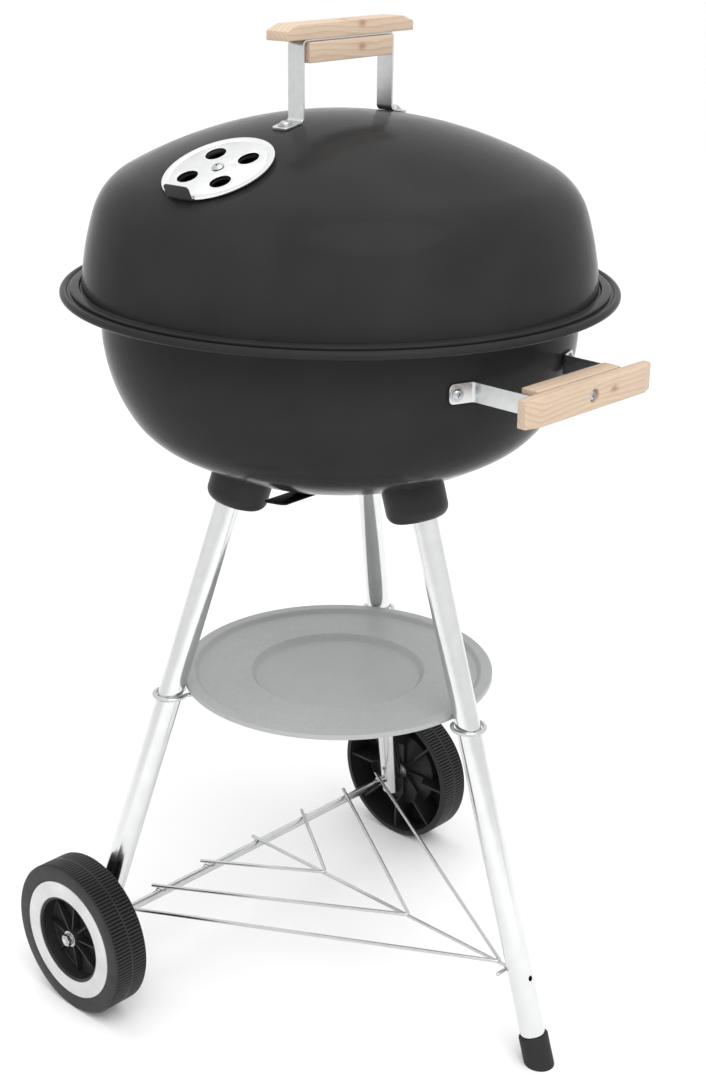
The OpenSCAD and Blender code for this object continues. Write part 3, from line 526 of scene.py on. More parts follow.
def pine(name, knot, through):
    """Planed pine, its rings round an axis along X; a knot at a point in metres runs along Y or Z."""
    s = Shader(name, IOR=1.45, Metallic=0.0)
    wobble = s.node("TexNoise", Scale=7.0, Detail=3.0)
    s.links.new(s.mapped((1.2, 6, 6)), wobble.inputs["Vector"])
    bent = s.node("VectorMath", operation="MULTIPLY_ADD")
    s.links.new(wobble.outputs["Color"], bent.inputs[0])
    bent.inputs[1].default_value = (0.0, 0.012, 0.012)
    s.links.new(s.mapped((0.16, 1, 1), (0, 0.041, 0.057)), bent.inputs[2])
    rings = s.node("TexWave", wave_type="RINGS", rings_direction="X", wave_profile="SAW",
                   Scale=95.0, Distortion=0.6, Detail=2.0)
    s.links.new(bent.outputs[0], rings.inputs["Vector"])
    ring = rings.outputs["Fac"]
    wood = s.ramp(ring, (0.0, (0.60, 0.475, 0.365)), (0.55, (0.58, 0.45, 0.34)),
                  (0.86, (0.515, 0.38, 0.275)), (1.0, (0.59, 0.465, 0.355)))
    fibre = s.noise(2600, 3, 0.6, (0.035, 1, 1))
    tone = s.ramp(fibre, (0.3, 0.86), (0.7, 1.0))
    cloud = s.ramp(s.noise(22, 3, 0.5, (0.3, 1, 1)), (0.3, (0.96, 0.93, 0.9)), (0.7, (1, 1, 1)))
    wood = s.mix(1.0, s.mix(1.0, wood, tone, "MULTIPLY"), cloud, "MULTIPLY")
    eye = s.node("VectorMath", operation="DISTANCE")
    squash = (0.62, 0.05, 1) if through == "Y" else (0.62, 1, 0.05)
    s.links.new(s.mapped(squash, tuple(-c * k for c, k in zip(knot, squash))), eye.inputs[0])
    eye.inputs[1].default_value = (0, 0, 0)
    dark = s.ramp(eye.outputs["Value"], (0.0, (0.55, 0.42, 0.33)), (0.0016, (0.7, 0.56, 0.46)),
                  (0.0024, (0.9, 0.84, 0.78)), (0.0045, (1, 1, 1)))
    s.feed("Base Color", s.mix(1.0, wood, dark, "MULTIPLY"))
    s.feed("Roughness", s.ramp(fibre, (0.3, 0.5), (0.7, 0.62)))
    s.bump((ring, 0.12, 0.00008), (fibre, 0.35, 0.00006))
    return s.material


def plastic(name, colour, rough, grain, depth):
    s = Shader(name, IOR=1.32, Metallic=0.0)
    dark = tuple(c * 0.8 for c in colour)
    s.feed("Base Color", s.ramp(s.noise(35, 4), (0.3, dark), (0.7, colour)))
    s.feed("Roughness", s.ramp(s.noise(90, 4), (0.3, rough), (0.7, rough + 0.12)))
    s.bump((s.noise(grain, 3), 0.3, depth),)
    return s.material


ENAMEL = black_enamel()
SATIN = satin_enamel()
STRAP = metal("strap_steel", (0.63, 0.635, 0.64), 0.24, 0.14, 900, (0.08, 1, 1))
ZINC = metal("zinc_plate", (0.5, 0.505, 0.52), 0.2, 0.2, 500)
CHROME = metal("leg_chrome", (0.75, 0.755, 0.76), 0.13, 0.07, 300, (1, 1, 0.1), 0.00001)
WIRE = metal("bright_wire", (0.58, 0.585, 0.59), 0.16, 0.14, 600)
GRATE = metal("grate_steel", (0.45, 0.45, 0.455), 0.3, 0.2, 400)
VENT_METAL = metal("vent_metal", (0.78, 0.785, 0.79), 0.16, 0.1, 700)
TRAY = tray_enamel()
TYRE = plastic("wheel_plastic", (0.022, 0.022, 0.022), 0.36, 900, 0.00006)
TRIM = plastic("trim_plastic", (0.66, 0.66, 0.66), 0.34, 700, 0.00003)
RUBBER = plastic("foot_rubber", (0.022, 0.022, 0.022), 0.6, 700, 0.00008)
LID_PINE = pine("lid_pine", (0.012, 0.009, 0.0), "Z")
BOWL_PINE = pine("bowl_pine", (-0.025, 0.0, 0.001), "Y")


# ---- Bowl and lid ----

ASH_AZIMUTHS = [-101, 19, 139]
ASH_RING_R = 40
ASH_HOLE_R = 12
ASH_RING_A = math.degrees(math.asin(ASH_RING_R / BOWL_CROWN_R))
VENT_ANGLES = [45, 135, 225, 315]
VENT_RING_R = 24.3
VENT_HOLE_R = 8.5


def ash_holes(depth_out):
    """Cutters through the bowl's bottom, reaching depth_out below it."""
    holes = bmesh.new()
    for azimuth in ASH_AZIMUTHS:
        at = shift(0, 0, CROWN_Z) @ turn(azimuth, "Z") @ turn(180 - ASH_RING_A, "Y")
        prism(holes, circle(ASH_HOLE_R, 48), BOWL_CROWN_R - 5, BOWL_CROWN_R + depth_out, at)
    return holes


def vent_holes(reach, steps, place=Matrix()):
    """Cutters in a ring about the vent's axis, reaching to both sides of its plane."""
    holes = bmesh.new()
    for angle in VENT_ANGLES:
        at = place @ turn(angle, "Z") @ shift(VENT_RING_R, 0, 0)
        prism(holes, circle(VENT_HOLE_R, steps), -reach, reach, at)
    return holes


def bowl_shell():
    """Wall, bend, ledge and rolled bead, outside from the bottom up and back down the inside."""
    bead_c = (RIM_R - BEAD_R, LEDGE_Z - BEAD_DROP)
    bead_from, bead_to = 171.8, 505.2
    bend = 3
    bend_c = (WALL_R + bend, LEDGE_Z - SHEET - bend)
    outline = bowl_wall(0, rising=True)
    outline += arc(bend_c, bend, 180, 90, 5)
    outline += arc(bead_c, BEAD_R, bead_from, bead_to, 36)
    outline += arc(bend_c, bend + SHEET, 90, 180, 6)
    outline += bowl_wall(SHEET, rising=False)
    bm = bmesh.new()
    lathe(bm, outline, 288)
    add("bowl", bm, ENAMEL, ["bowl_shell"], place=KETTLE, carve=ash_holes(5))


def lid_shell():
    """Wall, the crease above the flange, the flange, and back up the inside."""
    base, crease_h = LID_BASE_Z, 3.2
    flange = FLANGE_R - 1.2
    crease = lid_wall(0, base + crease_h, rising=True)[0]
    lip = [crease, crease + Vector((0, -2.2)), crease + Vector((1.1, -2.4)), crease + Vector((2.5, -0.1)),
           (flange - 1.2, base + 2.5), (flange, base + 1.8), (flange, base + 0.2), (flange - 0.8, base),
           (LID_R + 1.2, base), (LID_R - 1.9, base + 1.6)]
    outline = lid_wall(0, base + crease_h, rising=False)
    outline += rounded(lip, 0.5, 3, closed=False)[1:]
    outline += lid_wall(SHEET, base + 2.6, rising=True)
    bm = bmesh.new()
    lathe(bm, outline, 288)
    at = shift(0, 0, LID_CROWN_C[1]) @ turn(-VENT_TILT, "Y") @ shift(0, 0, LID_CROWN_R)
    add("lid", bm, ENAMEL, ["lid_shell"], "lid", LID, carve=vent_holes(8, 48, at))


bowl_shell()
lid_shell()


# ---- Handles ----

STRAP_T = 2
STRAP_W = 16
STRAP_HALF = 57
STRAP_BEND = 3
STRAP_FOOT = 19
STRAP_CORNER = 4
LID_FOOT_HALF = 66
BOWL_FOOT_HALF = 67.5
BOARD_L = 158
BOARD_W = 22
BOARD_T = 12
BOARD_RUN = 13
BOARD_DROP = 4.5
BOARD_HOLE_R = 5.5
BOARD_HOLE = 4
BLOCK_L = 104
BLOCK_T = 16
BLOCK_HOLE_R = 6.5
BLOCK_HOLE = 5
BOLT_R = 2.5
BOLT_HEAD_R = 4.7
BOLT_HEAD_H = 3
SCREW_HEAD_R = 4.5
SCREW_HEAD_H = 2.6
SCREW_L = 13
SCREW_OFFSET = 3
WASHER_R = 6
WASHER_T = 1
NUT_AF = 8
NUT_H = 4
NUT_GAP = {"lid": 0.4, "bowl": 1.4}
FOOT_GAP = 0.15


def strap_path(top, seat, foot_a):
    """Middle line of the hat-shaped strap, from one foot's end to the other's."""
    bend = STRAP_BEND + STRAP_T / 2
    tilt = math.radians(foot_a)
    foot_x = STRAP_HALF + STRAP_BEND
    foot_y = (seat + STRAP_BEND + STRAP_T - foot_x * math.sin(tilt)) / math.cos(tilt)
    foot_c = Vector((foot_x, foot_y))
    half = [foot_c + bend * unit(-90 - foot_a) + STRAP_FOOT * unit(-foot_a)]
    half += arc(foot_c, bend, 270 - foot_a, 180, 8)
    corner = STRAP_HALF - STRAP_BEND - STRAP_T
    half += arc((corner, top - STRAP_BEND - STRAP_T), bend, 0, 90, 8)
    return half + [Vector((-p.x, p.y)) for p in reversed(half)]


def strap_fixings(prefix, body, on_foot):
    """Screw, washer and nut in each foot of a strap; on_foot gives the foot's place on the sheet."""
    screws, recess, washers, nuts = bmesh.new(), bmesh.new(), bmesh.new(), bmesh.new()
    under = STRAP_T + FOOT_GAP
    over = under + WASHER_T
    for side in (-1, 1):
        at = on_foot(side) @ shift(side * SCREW_OFFSET, 0, 0)
        tight = at @ shift(0, 0, over) @ turn(20 + 35 * side, "Z")
        pan_head(screws, SCREW_HEAD_R, SCREW_HEAD_H, BOLT_R, SCREW_L, tight)
        cross_recess(recess, SCREW_HEAD_R, SCREW_HEAD_H, tight)
        washer(washers, WASHER_R, BOLT_R + 0.2, under, over, 0.3, at)
        hexagon_nut(nuts, NUT_AF, NUT_H, BOLT_R + 0.05, at @ shift(0, 0, -SHEET - NUT_GAP[prefix] - NUT_H))
    add(prefix + "_screws", screws, ZINC, [prefix + "_strap_screws"], body, carve=recess)
    add(prefix + "_washers", washers, ZINC, [prefix + "_strap_washers"], body)
    add(prefix + "_nuts", nuts, ZINC, [prefix + "_strap_nuts"], body)


def handle(prefix, body, place, board_r, seat, foot_a, wood):
    """Strap, board, block, bolt and nut; place has Y pointing out of the kettle."""
    bm = bmesh.new()
    strip(bm, strap_path(board_r, seat, foot_a), STRAP_W, STRAP_T, STRAP_CORNER)
    add(prefix + "_strap", bm, STRAP, [prefix + "_handle_strap"], body, place)

    along = turn(-90, "X")
    half = BOARD_L / 2
    bm = bmesh.new()
    prism(bm, [(-half, 0), (half, 0), (half, BOARD_T - BOARD_DROP), (half - BOARD_RUN, BOARD_T),
               (BOARD_RUN - half, BOARD_T), (-half, BOARD_T - BOARD_DROP)], -BOARD_W / 2, BOARD_W / 2)
    hole = bmesh.new()
    prism(hole, circle(BOARD_HOLE_R, 40), BOARD_T - BOARD_HOLE, BOARD_T + 4, along)
    add(prefix + "_board", bm, wood, [prefix + "_handle_board"], body,
        place @ shift(0, board_r, 0), carve=hole, soft=0.7)

    half = BLOCK_L / 2
    bm = bmesh.new()
    prism(bm, [(-half, 0), (half, 0), (half, BLOCK_T), (-half, BLOCK_T)], -BOARD_W / 2, BOARD_W / 2)
    hole = bmesh.new()
    prism(hole, circle(BLOCK_HOLE_R, 40), -4, BLOCK_HOLE, along)
    add(prefix + "_block", bm, wood, [prefix + "_handle_block"], body,
        place @ shift(0, board_r - STRAP_T - BLOCK_T, 0), carve=hole, soft=0.8)

    seat_r = board_r + BOARD_T - BOARD_HOLE
    length = BOARD_T - BOARD_HOLE + STRAP_T + BLOCK_T - 1
    bm, recess = bmesh.new(), bmesh.new()
    pan_head(bm, BOLT_HEAD_R, BOLT_HEAD_H, BOLT_R, length)
    cross_recess(recess, BOLT_HEAD_R, BOLT_HEAD_H)
    add(prefix + "_grip_bolt", bm, ZINC, [prefix + "_handle_bolt"], body,
        place @ shift(0, seat_r, 0) @ along, carve=recess)

    bm = bmesh.new()
    hexagon_nut(bm, NUT_AF, NUT_H, BOLT_R + 0.05)
    add(prefix + "_grip_nut", bm, ZINC, [prefix + "_handle_nut"], body,
        place @ shift(0, board_r - STRAP_T - BLOCK_T + BLOCK_HOLE, 0) @ turn(90, "X"))


lid_board_r = box_mm("lid_handle_board")[0].z - LID_CROWN_C[1]
lid_foot_a = math.degrees(math.asin(LID_FOOT_HALF / LID_CROWN_R))
handle("lid", "lid", LID_GRIP, lid_board_r, LID_CROWN_R + FOOT_GAP, lid_foot_a, LID_PINE)
strap_fixings("lid", "lid",
              lambda side: LID_CROWN @ turn(side * lid_foot_a, "Y") @ shift(0, 0, LID_CROWN_R))

bowl_board_r = AXIS_Y - box_mm("bowl_handle_board")[1].y
bowl_foot_a = math.degrees(math.asin(BOWL_FOOT_HALF / WALL_R))
handle("bowl", STEEL_BODY, BOWL_GRIP, bowl_board_r, WALL_R + 0.1, bowl_foot_a, BOWL_PINE)
strap_fixings("bowl", STEEL_BODY, lambda side: on_wall(side * bowl_foot_a) @ shift(0, 0, WALL_R - 0.05))


# ---- Lid vent ----

VENT_R = 45
VENT_T = 1.2
VENT_GAP = 0.35
VENT_GROOVE_R = 0.87 * VENT_R
TAB_W = 26
TAB_H = 12
TAB_BEND = 1.6
TAB_CORNER = 3


def lid_vent():
    """A turning disc with a pressed groove, the tab at its edge, and its screw, spring and nut."""
    place = VENT @ shift(0, 0, VENT_GAP)
    bm = bmesh.new()
    # The point 0.4 in from the rim keeps the flat face's shading flat
    lathe(bm, [(0, 0), (VENT_R, 0), (VENT_R, VENT_T), (VENT_R - 0.4, VENT_T),
               (VENT_GROOVE_R + 0.8, VENT_T), (VENT_GROOVE_R, VENT_T - 0.35),
               (VENT_GROOVE_R - 0.8, VENT_T), (0, VENT_T)], 160)
    add("vent_disc", bm, VENT_METAL, ["lid_vent_disc"], "lid_vent", place,
        carve=vent_holes(4, 56), soft=0.25, sharp=30)
    # The tab is bent up from the disc's own metal; it is given the black socket enamel as a painted reflection of
    # the dark lid in its outer face
    bm = bmesh.new()
    x, z = -VENT_R - VENT_T / 2, VENT_T / 2
    path = [(-VENT_R + 5, z)] + arc((x + TAB_BEND, z + TAB_BEND), TAB_BEND, 270, 180, 6) + [(x, TAB_H)]
    strip(bm, path, TAB_W, VENT_T, TAB_CORNER, turn(90, "X"), 0.3)
    add("vent_tab", bm, SATIN, [], "lid_vent", place)
    bm, recess = bmesh.new(), bmesh.new()
    pan_head(bm, 5, 2.4, BOLT_R, 14)
    cross_recess(recess, 5, 2.4)
    add("vent_screw", bm, ZINC, ["lid_vent_screw"], "lid",
        VENT @ shift(0, 0, 2 * VENT_GAP + VENT_T) @ turn(25, "Z"), carve=recess)
    bm = bmesh.new()
    washer(bm, 5, 2.7, -SHEET - 2.2, -SHEET - 0.4, 0.3)
    add("vent_spring", bm, ZINC, ["lid_vent_spring"], "lid", VENT)
    bm = bmesh.new()
    hexagon_nut(bm, NUT_AF, NUT_H, BOLT_R + 0.05)
    add("vent_nut", bm, ZINC, ["lid_vent_nut"], "lid", VENT @ shift(0, 0, -SHEET - 6.2))


lid_vent()


# ---- Ash damper ----

DAMPER_R = 58
DAMPER_T = 1.2
DAMPER_GAP = 0.35
LEVER_AZIMUTH = -161
LEVER_W = 20.5
LEVER_L = 81
LEVER_CORNER = 5
LEVER_OVERLAP_A = 2.2


def ash_damper():
    """A disc curved like the bowl's bottom, and the flat lever that starts within its edge."""
    edge_a = math.degrees(math.asin(DAMPER_R / BOWL_CROWN_R))
    skin = BOWL_CROWN_R + DAMPER_GAP
    outline = arc((0, CROWN_Z), skin + DAMPER_T, -90, -90 + edge_a, 16)
    outline += arc((0, CROWN_Z), skin, -90 + edge_a, -90, 16)
    bm = bmesh.new()
    lathe(bm, outline, 128)
    add("damper_disc", bm, ENAMEL, ["ash_damper"], "ash_damper_body", KETTLE,
        carve=ash_holes(8), soft=0.25)
    bm = bmesh.new()
    mid = skin + DAMPER_T / 2
    path = [(4, mid), (0, mid), (-LEVER_L + 16, mid), (-LEVER_L, mid)]
    at = KETTLE @ shift(0, 0, CROWN_Z) @ turn(LEVER_AZIMUTH, "Z") @ turn(180 - edge_a + LEVER_OVERLAP_A, "Y")
    strip(bm, path, LEVER_W, DAMPER_T, LEVER_CORNER, at @ turn(90, "X"), 0.3)
    add("damper_lever", bm, ENAMEL, [], "ash_damper_body")


ash_damper()


# ---- Legs and sockets ----

LEG_TOP = BOWL_CROWN_R + 10
SOCKET_TOP = BOWL_CROWN_R - 16
SOCKET_END = BOWL_CROWN_R + 30
SOCKET_R = 27
SOCKET_T = 2
SOCKET_CURVE = 10
SOCKET_SHIFT = 6
SHELF_FRONT_Z = 81
FRONT_END_Z = 8
REAR_END_Z = AXLE_Z - 16
CAP_T = 2.2
CAP_TOP_Z = 26


def leg_sockets():
    """Rounded cups, open upwards against the bowl's bottom."""
    curve_c = (SOCKET_R - SOCKET_CURVE, SOCKET_END - SOCKET_CURVE)
    for name, azimuth in LEG_AZIMUTHS.items():
        bm = bmesh.new()
        outline = [(SOCKET_R, SOCKET_TOP)]
        outline += arc(curve_c, SOCKET_CURVE, 0, 90, 12) + [(0, SOCKET_END), (0, SOCKET_END - SOCKET_T)]
        outline += arc(curve_c, SOCKET_CURVE - SOCKET_T, 90, 0, 12) + [(SOCKET_R - SOCKET_T, SOCKET_TOP)]
        lathe(bm, outline, 128, shift(SOCKET_SHIFT, 0, 0))
        cut = bmesh.new()
        prism(cut, circle(LEG_R + 0.35, 64), LEG_TOP, LEG_TOP + 60)
        lathe(cut, arc((0, 0), BOWL_CROWN_R + 0.05, 10, 90, 40) + [(0, 0), (200, 0)], 160)
        add(name + "_socket", bm, SATIN, [name + "_leg_socket"], place=on_leg(azimuth),
            carve=cut, soft=0.3, sharp=30)


def leg_tube(name, end_z):
    """A round tube with lightly rounded ends, drilled for the axle or the shelf's wire."""
    length = leg_s(end_z) - LEG_TOP
    inner_r = LEG_R - LEG_WALL
    bm = bmesh.new()
    lathe(bm, rounded([(inner_r, 0), (LEG_R, 0), (LEG_R, length), (inner_r, length)], 0.4, 3), 96)
    place = on_leg(LEG_AZIMUTHS[name]) @ shift(0, 0, LEG_TOP)
    cut = bmesh.new()
    if name == "front":
        world = shift(0, AXIS_Y - leg_rho(SHELF_FRONT_Z), SHELF_FRONT_Z) @ turn(90, "X")
        prism(cut, circle(2.4, 24), -30, 30, place.inverted() @ world)
    else:
        world = shift(0, AXLE_Y, AXLE_Z) @ turn(90, "Y")
        prism(cut, circle(AXLE_R + 0.2, 32), -300, 300, place.inverted() @ world)
    add(name + "_leg_tube", bm, CHROME, [name + "_leg"], place=place, carve=cut)


def foot_cap():
    """Rubber cap, its foot cut level with the ground."""
    top = leg_s(CAP_TOP_Z)
    outer_r, seat_r, end = LEG_R + CAP_T, LEG_R + 0.05, top + 60
    outline = rounded([(0, top + 3), (seat_r, top + 3), (seat_r, top), (outer_r, top), (outer_r, end),
                       (0, end)], [0, 0, 0.5, 1.1, 0, 0], 4)
    bm = bmesh.new()
    lathe(bm, outline, 96, on_leg(LEG_AZIMUTHS["front"]))
    bmesh.ops.remove_doubles(bm, verts=bm.verts, dist=1e-4)
    cut = bmesh.ops.bisect_plane(bm, geom=bm.verts[:] + bm.edges[:] + bm.faces[:], plane_co=(0, 0, 0),
                                 plane_no=(0, 0, -1), clear_outer=True)
    edges = [e for e in cut["geom_cut"] if isinstance(e, bmesh.types.BMEdge)]
    bmesh.ops.contextual_create(bm, geom=edges)
    add("foot_cap", bm, RUBBER, ["front_foot_cap"], soft=0.9)


leg_sockets()
leg_tube("front", FRONT_END_Z)
leg_tube("left", REAR_END_Z)
leg_tube("right", REAR_END_Z)
foot_cap()


# ---- Tray and hooks ----

TRAY_T = 1.2
TRAY_DIP = 4
TRAY_WELL = 9
TRAY_HEM = 4.4


def ash_tray():
    """Pressed sheet: rolled hem, flat rim, floor and a deeper well."""
    r = (tray_high.x - tray_low.x) / 2
    z = tray_high.z
    floor, well, hem = z - TRAY_DIP, z - TRAY_WELL, z - TRAY_HEM
    top = rounded([(0, well), (0.53 * r, well), (0.56 * r, floor), (0.9 * r, floor), (0.925 * r, z),
                   (r, z), (r, hem)], [0, 2.5, 2.5, 3, 3, 1.6, 0], 6, closed=False)
    under = rounded([(r - TRAY_T, hem), (r - TRAY_T, z - TRAY_T), (0.93 * r, z - TRAY_T),
                     (0.905 * r, floor - TRAY_T), (0.565 * r, floor - TRAY_T), (0.535 * r, well - TRAY_T),
                     (0, well - TRAY_T)], [0, 0.5, 2, 2, 2, 2, 0], 6, closed=False)
    bm = bmesh.new()
    lathe(bm, top + under, 224)
    add("tray", bm, TRAY, ["ash_tray"], place=KETTLE)


def tray_hooks():
    """Wires under the tray, each bent once round a leg to a cut end."""
    wire_r, bend, straight, fall = 2, 3, 24, 0.006
    hook_z = box_mm("tray_hooks")[0].z + wire_r
    rho = leg_rho(hook_z)
    loop_r = LEG_R / math.cos(math.radians(LEG_TILT)) + wire_r + 0.7
    aside = 0.55 * loop_r
    bm = bmesh.new()
    for azimuth in LEG_AZIMUTHS.values():
        points = [Vector((rho - loop_r - straight, aside)), Vector((rho - 0.9 * loop_r, aside))]
        points += arc((rho, 0), loop_r, 132, -166, 44)
        bent = rounded(points, [0, bend] + [0] * (len(points) - 2), 5, closed=False)
        path = [(*p, hook_z - fall * i) for i, p in enumerate(bent)]
        sweep(bm, path, wire_r, KETTLE @ turn(azimuth, "Z"))
    add("hooks", bm, WIRE, ["tray_hooks"])


ash_tray()
tray_hooks()


# ---- Shelf and axle ----

SHELF_WIRE_R = 1.7


def wire_shelf():
    """A spine from axle to front leg, three nested V wires, a cross wire at the leg and weld beads."""
    wire_r, front_z = SHELF_WIRE_R, SHELF_FRONT_Z
    back = Vector((0, box_mm("wire_shelf")[1].y - wire_r, AXLE_Z + AXLE_R + wire_r))
    front_y = AXIS_Y - leg_rho(front_z)
    tip = Vector((0, front_y + 3, front_z))
    leg_x = leg_rho(AXLE_Z) * math.cos(math.radians(LEG_AZIMUTHS["right"]))
    halves = [0.35 * leg_x, 0.66 * leg_x, leg_x - LEG_R - 6.5]
    bm = bmesh.new()
    sweep(bm, [back, tip], wire_r)
    for half, along in zip(halves, (0.303, 0.623, 0.944)):
        ends = [back + Vector((side * half, 0, 0)) for side in (-1, 1)]
        bent = rounded([ends[0].xy, back.lerp(tip, along).xy, ends[1].xy], [0, 2.5, 0], 8, closed=False)
        path = []
        for p in bent:
            share = (back.y - p.y) / (back.y - tip.y)
            path.append((p.x, p.y, back.z + (tip.z - back.z) * share + 0.9 * wire_r))
        sweep(bm, path, wire_r)
    cross_half, cross_z = 14, front_z - 1.2 * wire_r
    cross_y = front_y + LEG_R / math.cos(math.radians(LEG_TILT)) + 2 * wire_r
    sweep(bm, [(-cross_half, cross_y, cross_z), (cross_half, cross_y, cross_z)], wire_r)
    bead = rounded([(0, -1.2), (2.8, -1.2), (1.6, 1.4), (0, 1.6)], [0, 0.6, 0.8, 0], 3, closed=False)
    for x in [0] + [side * half * 0.985 for half in halves for side in (-1, 1)]:
        lathe(bm, bead, 20, shift(x, AXLE_Y + 1, AXLE_Z + AXLE_R))
    add("shelf", bm, WIRE, ["wire_shelf"])


def axle():
    """The rod with its thinner ends, and a washer each side of both wheels with a nut outside."""
    end_r, chamfer, inner_t, outer_t = 3, 0.6, 0.8, 1
    shoulder = box_mm("axle_outer_washers")[1].x - outer_t
    nut_out = box_mm("axle_nuts")[1].x
    tip = nut_out + 1.1
    half = rounded([(AXLE_R, 0), (AXLE_R, shoulder), (end_r, shoulder), (end_r, nut_out + 0.6),
                    (end_r - chamfer, tip), (0, tip)], [0, 0.4, 0, 0.2, 0.2, 0], 2, closed=False)[1:]
    bm = bmesh.new()
    lathe(bm, [Vector((p.x, -p.y)) for p in reversed(half)] + half, 48, on_axle(1))
    add("axle", bm, WIRE, ["axle_rod"])
    inner, outer, nuts = bmesh.new(), bmesh.new(), bmesh.new()
    inner_x = box_mm("axle_inner_washers")[1].x - inner_t
    for side in (-1, 1):
        at = on_axle(side)
        washer(inner, 8.5, AXLE_R + 0.1, inner_x, inner_x + inner_t, 0.2, at)
        washer(outer, 7.6, end_r + 0.1, shoulder, shoulder + outer_t, 0.25, at)
        hexagon_nut(nuts, 10, 5, end_r + 0.05, at @ shift(0, 0, shoulder + outer_t) @ turn(12, "Z"))
    add("inner_washers", inner, ZINC, ["axle_inner_washers"])
    add("outer_washers", outer, ZINC, ["axle_outer_washers"])
    add("hub_nuts", nuts, ZINC, ["axle_nuts"])


wire_shelf()
axle()


# ---- Wheels ----

GROOVES = 132
GROOVE_DEPTH = 1.6
TREAD_WALL = 6
HUB_R = 8.5
HUB_IN = WHEEL_IN + 10.4
HUB_OUT = WHEEL_OUT - 3.5
WEB_IN = WHEEL_OUT - 17
WEB_OUT = WEB_IN + 3
DISH_R = 0.57 * WHEEL_R
TRIM_IN = 0.575 * WHEEL_R
TRIM_OUT = 0.785 * WHEEL_R
TRIM_SEAT = WHEEL_OUT - 0.5
RIBS = 8


def tread_rings():
    """Rings across the tread, with grooves in each half set half a pitch apart."""
    middle, half_w = (WHEEL_IN + WHEEL_OUT) / 2, (WHEEL_OUT - WHEEL_IN) / 2
    # (depth below the tread, distance in from the wheel's face, whether the grooves cut it)
    shoulder = [(2.2, 0, False), (1.4, 0.25, False), (0.7, 0.9, False), (0.05, 1.6, True), (0, 2.4, True),
                (0, half_w - 1.1, True), (0, half_w - 0.7, False)]
    tread = [(TREAD_WALL, WHEEL_IN, False, 0)]
    tread += [(deep, WHEEL_IN + along, cut, 0) for deep, along, cut in shoulder]
    tread += [(0, middle, False, 0)]
    tread += [(deep, WHEEL_OUT - along, cut, 2 if cut else 0) for deep, along, cut in reversed(shoulder)]
    steps = 4 * GROOVES
    rings = []
    for deep, x, cut, offset in tread:
        ring = []
        for j in range(steps):
            phase = (j + offset) % 4
            radius = WHEEL_R - deep - (GROOVE_DEPTH if cut and phase == 0 else 0)
            angle = 2 * math.pi * (j + (0, 0.1, 0, -0.1)[phase]) / steps
            ring.append((radius * math.cos(angle), radius * math.sin(angle), x))
        rings.append(ring)
    return rings


def wheel(name, side):
    """One-piece moulded wheel: grooved tread, dished face with ribs, hollow back with ribs."""
    x0, x1, bore, inside = WHEEL_IN, WHEEL_OUT, AXLE_R + 0.08, WHEEL_R - TREAD_WALL
    # (radius, along the axle, rounding), from the tread's outer edge to its inner one
    section = [(WHEEL_R - 2.2, x1, 0), (TRIM_OUT + 0.8, x1, 0.4), (TRIM_OUT, TRIM_SEAT, 0.2),
               (TRIM_IN, TRIM_SEAT, 0.2), (TRIM_IN - 0.5, x1, 0.3), (DISH_R - 1, x1, 0.5),
               (DISH_R - 2.5, x1 - 1.5, 0.8), (DISH_R - 2.9, WEB_OUT, 2), (HUB_R, WEB_OUT, 1.5),
               (HUB_R - 0.6, HUB_OUT, 0.8), (bore, HUB_OUT, 0.3), (bore, HUB_IN, 0.3), (HUB_R, HUB_IN, 0.5),
               (HUB_R, WEB_IN, 1.2), (DISH_R - 0.5, WEB_IN, 1.2), (DISH_R, x1 - 3.5, 2),
               (inside - 0.4, x1 - 3.5, 2), (inside, x0, 0)]
    face = rounded([(radius, x) for radius, x, _ in section], [corner for _, _, corner in section], 3,
                   closed=False)
    rings = tread_rings()
    rings += [ring_at(p.x, p.y, 4 * GROOVES) for p in face[1:-1]]
    bm = bmesh.new()
    loft(bm, rings, ends="join")
    bmesh.ops.remove_doubles(bm, verts=bm.verts, dist=1e-4)
    root, rib_r, buried = HUB_R - 1, inside + 1, WEB_IN + 1
    back = [(root, buried), (root, WEB_IN - 3.5), (30, WEB_IN - 3.5), (37, x0 + 3), (rib_r, x0 + 3),
            (rib_r, x1 - 4), (DISH_R - 1.5, x1 - 4), (DISH_R - 1.5, buried)]
    front = [(root, buried), (root, HUB_OUT - 2), (DISH_R - 2, WEB_OUT + 4), (DISH_R - 2, buried)]
    for i in range(RIBS):
        at = turn(360 * i / RIBS, "Z") @ turn(90, "X")
        prism(bm, back, -1.2, 1.2, at)
        prism(bm, front, -0.8, 0.8, at)
    body = name + "_body"
    add(name + "_moulding", bm, TYRE, [name], body, on_axle(side), sharp=32)
    proud = x1 + 0.4
    bm = bmesh.new()
    lathe(bm, rounded([(TRIM_IN, TRIM_SEAT), (TRIM_OUT, TRIM_SEAT), (TRIM_OUT, proud), (TRIM_IN, proud)],
                      [0, 0, 0.35, 0.35], 3), 160)
    add(name + "_ring", bm, TRIM, [name + "_trim"], body, on_axle(side))


wheel("left_wheel", -1)
wheel("right_wheel", 1)


# ---- Grates ----

def grate(name, node, material, body, ring_r, wire_r, pitch):
    """A round grate: a ring under parallel wires whose ends stop on the ring's middle."""
    low, high = box_mm(node)
    z = (low.z + high.z) / 2
    radius = (high.x - low.x) / 2 - ring_r
    steps = 160
    rings = []
    for j in range(steps):
        way = unit(360 * j / steps)
        rings.append([(*(way * (radius + p.x)), p.y) for p in circle(ring_r)])
    bm = bmesh.new()
    loft(bm, rings, ends="join")
    count = math.floor(0.93 * radius / pitch)
    for i in range(-count, count + 1):
        end = math.sqrt(radius ** 2 - (i * pitch) ** 2)
        sweep(bm, [(i * pitch, -end, 0), (i * pitch, end, 0)], wire_r, steps=12)
    add(name, bm, material, [node], body, KETTLE @ shift(0, 0, z))


grate("food_grate", "cooking_grate", WIRE, "cooking_grate_body", 3, 2, 16)
grate("coal_grate", "charcoal_grate", GRATE, "charcoal_grate_body", 3, 2.5, 24)

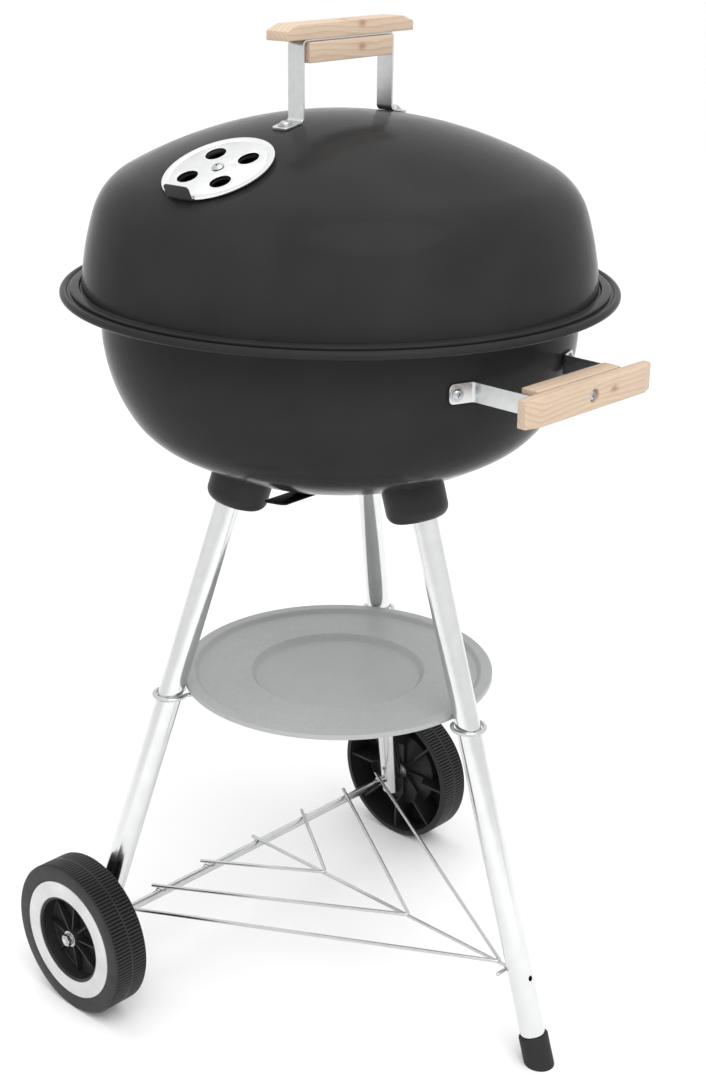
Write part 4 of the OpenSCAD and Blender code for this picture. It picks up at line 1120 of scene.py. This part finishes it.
# The hidden fixings stay as the CAD has them
for node, piece in frame["nodes"].items():
    if not piece.hide_render:
        piece.data.materials.clear()
        piece.data.materials.append(ZINC)
        piece.data.shade_smooth()
        piece.data.set_sharp_from_angle(angle=math.radians(30))


# ---- Studio ----

def studio():
    mesh = bpy.data.meshes.new("floor")
    bm = bmesh.new()
    bmesh.ops.create_grid(bm, x_segments=1, y_segments=1, size=40)
    bm.to_mesh(mesh)
    bm.free()
    floor = bpy.data.objects.new("floor", mesh)
    scene.collection.objects.link(floor)
    s = Shader("floor_paper", Metallic=0.0, Roughness=0.75, IOR=1.3)
    s.feed("Base Color", s.ramp(s.noise(3, 3), (0.3, 0.86), (0.7, 0.89)))
    mesh.materials.append(s.material)

    world = bpy.data.worlds.new("studio")
    scene.world = world
    world.use_nodes = True
    nodes, links = world.node_tree.nodes, world.node_tree.links
    sky = nodes["Background"]
    height = nodes.new("ShaderNodeSeparateXYZ")
    links.new(nodes.new("ShaderNodeTexCoord").outputs["Generated"], height.inputs[0])
    ramp = nodes.new("ShaderNodeValToRGB")
    ramp.color_ramp.elements[0].color = (0.78, 0.78, 0.78, 1)
    ramp.color_ramp.elements[1].color = (1, 1, 1, 1)
    ramp.color_ramp.elements[1].position = 0.75
    links.new(height.outputs["Z"], ramp.inputs["Fac"])
    links.new(ramp.outputs["Color"], sky.inputs["Color"])
    sky.inputs["Strength"].default_value = 1.2

    centre = Vector((0, 0, 0.45))
    distance, size = 3.0, 2.6
    for name, direction, power in (("key", (-0.5, -1.0, 1.5), 48), ("top", (0.1, 0.2, 1.0), 10)):
        light = bpy.data.lights.new(name, "AREA")
        light.shape = "DISK"
        light.size = size
        light.energy = power
        lamp = bpy.data.objects.new(name, light)
        scene.collection.objects.link(lamp)
        away = Vector(direction).normalized()
        lamp.location = centre + away * distance
        lamp.rotation_mode = "QUATERNION"
        lamp.rotation_quaternion = away.to_track_quat("Z", "Y")


def camera():
    """Looks down on the grill from its left front."""
    yaw, pitch, roll = 46.61, 20.905, 0.58
    from_axis = Vector((-1.0549, -1.0147, 0.9874))
    data = bpy.data.cameras.new("camera")
    data.lens = 58.55
    data.sensor_width = 36
    made = bpy.data.objects.new("camera", data)
    scene.collection.objects.link(made)
    made.location = from_axis + Vector((0, AXIS_Y * MM, 0))
    made.rotation_mode = "QUATERNION"
    look = turn(-yaw, "Z") @ turn(90 - pitch, "X") @ turn(roll, "Z")
    made.rotation_quaternion = look.to_quaternion()
    scene.camera = made


studio()
camera()
scene.view_settings.view_transform = "Standard"
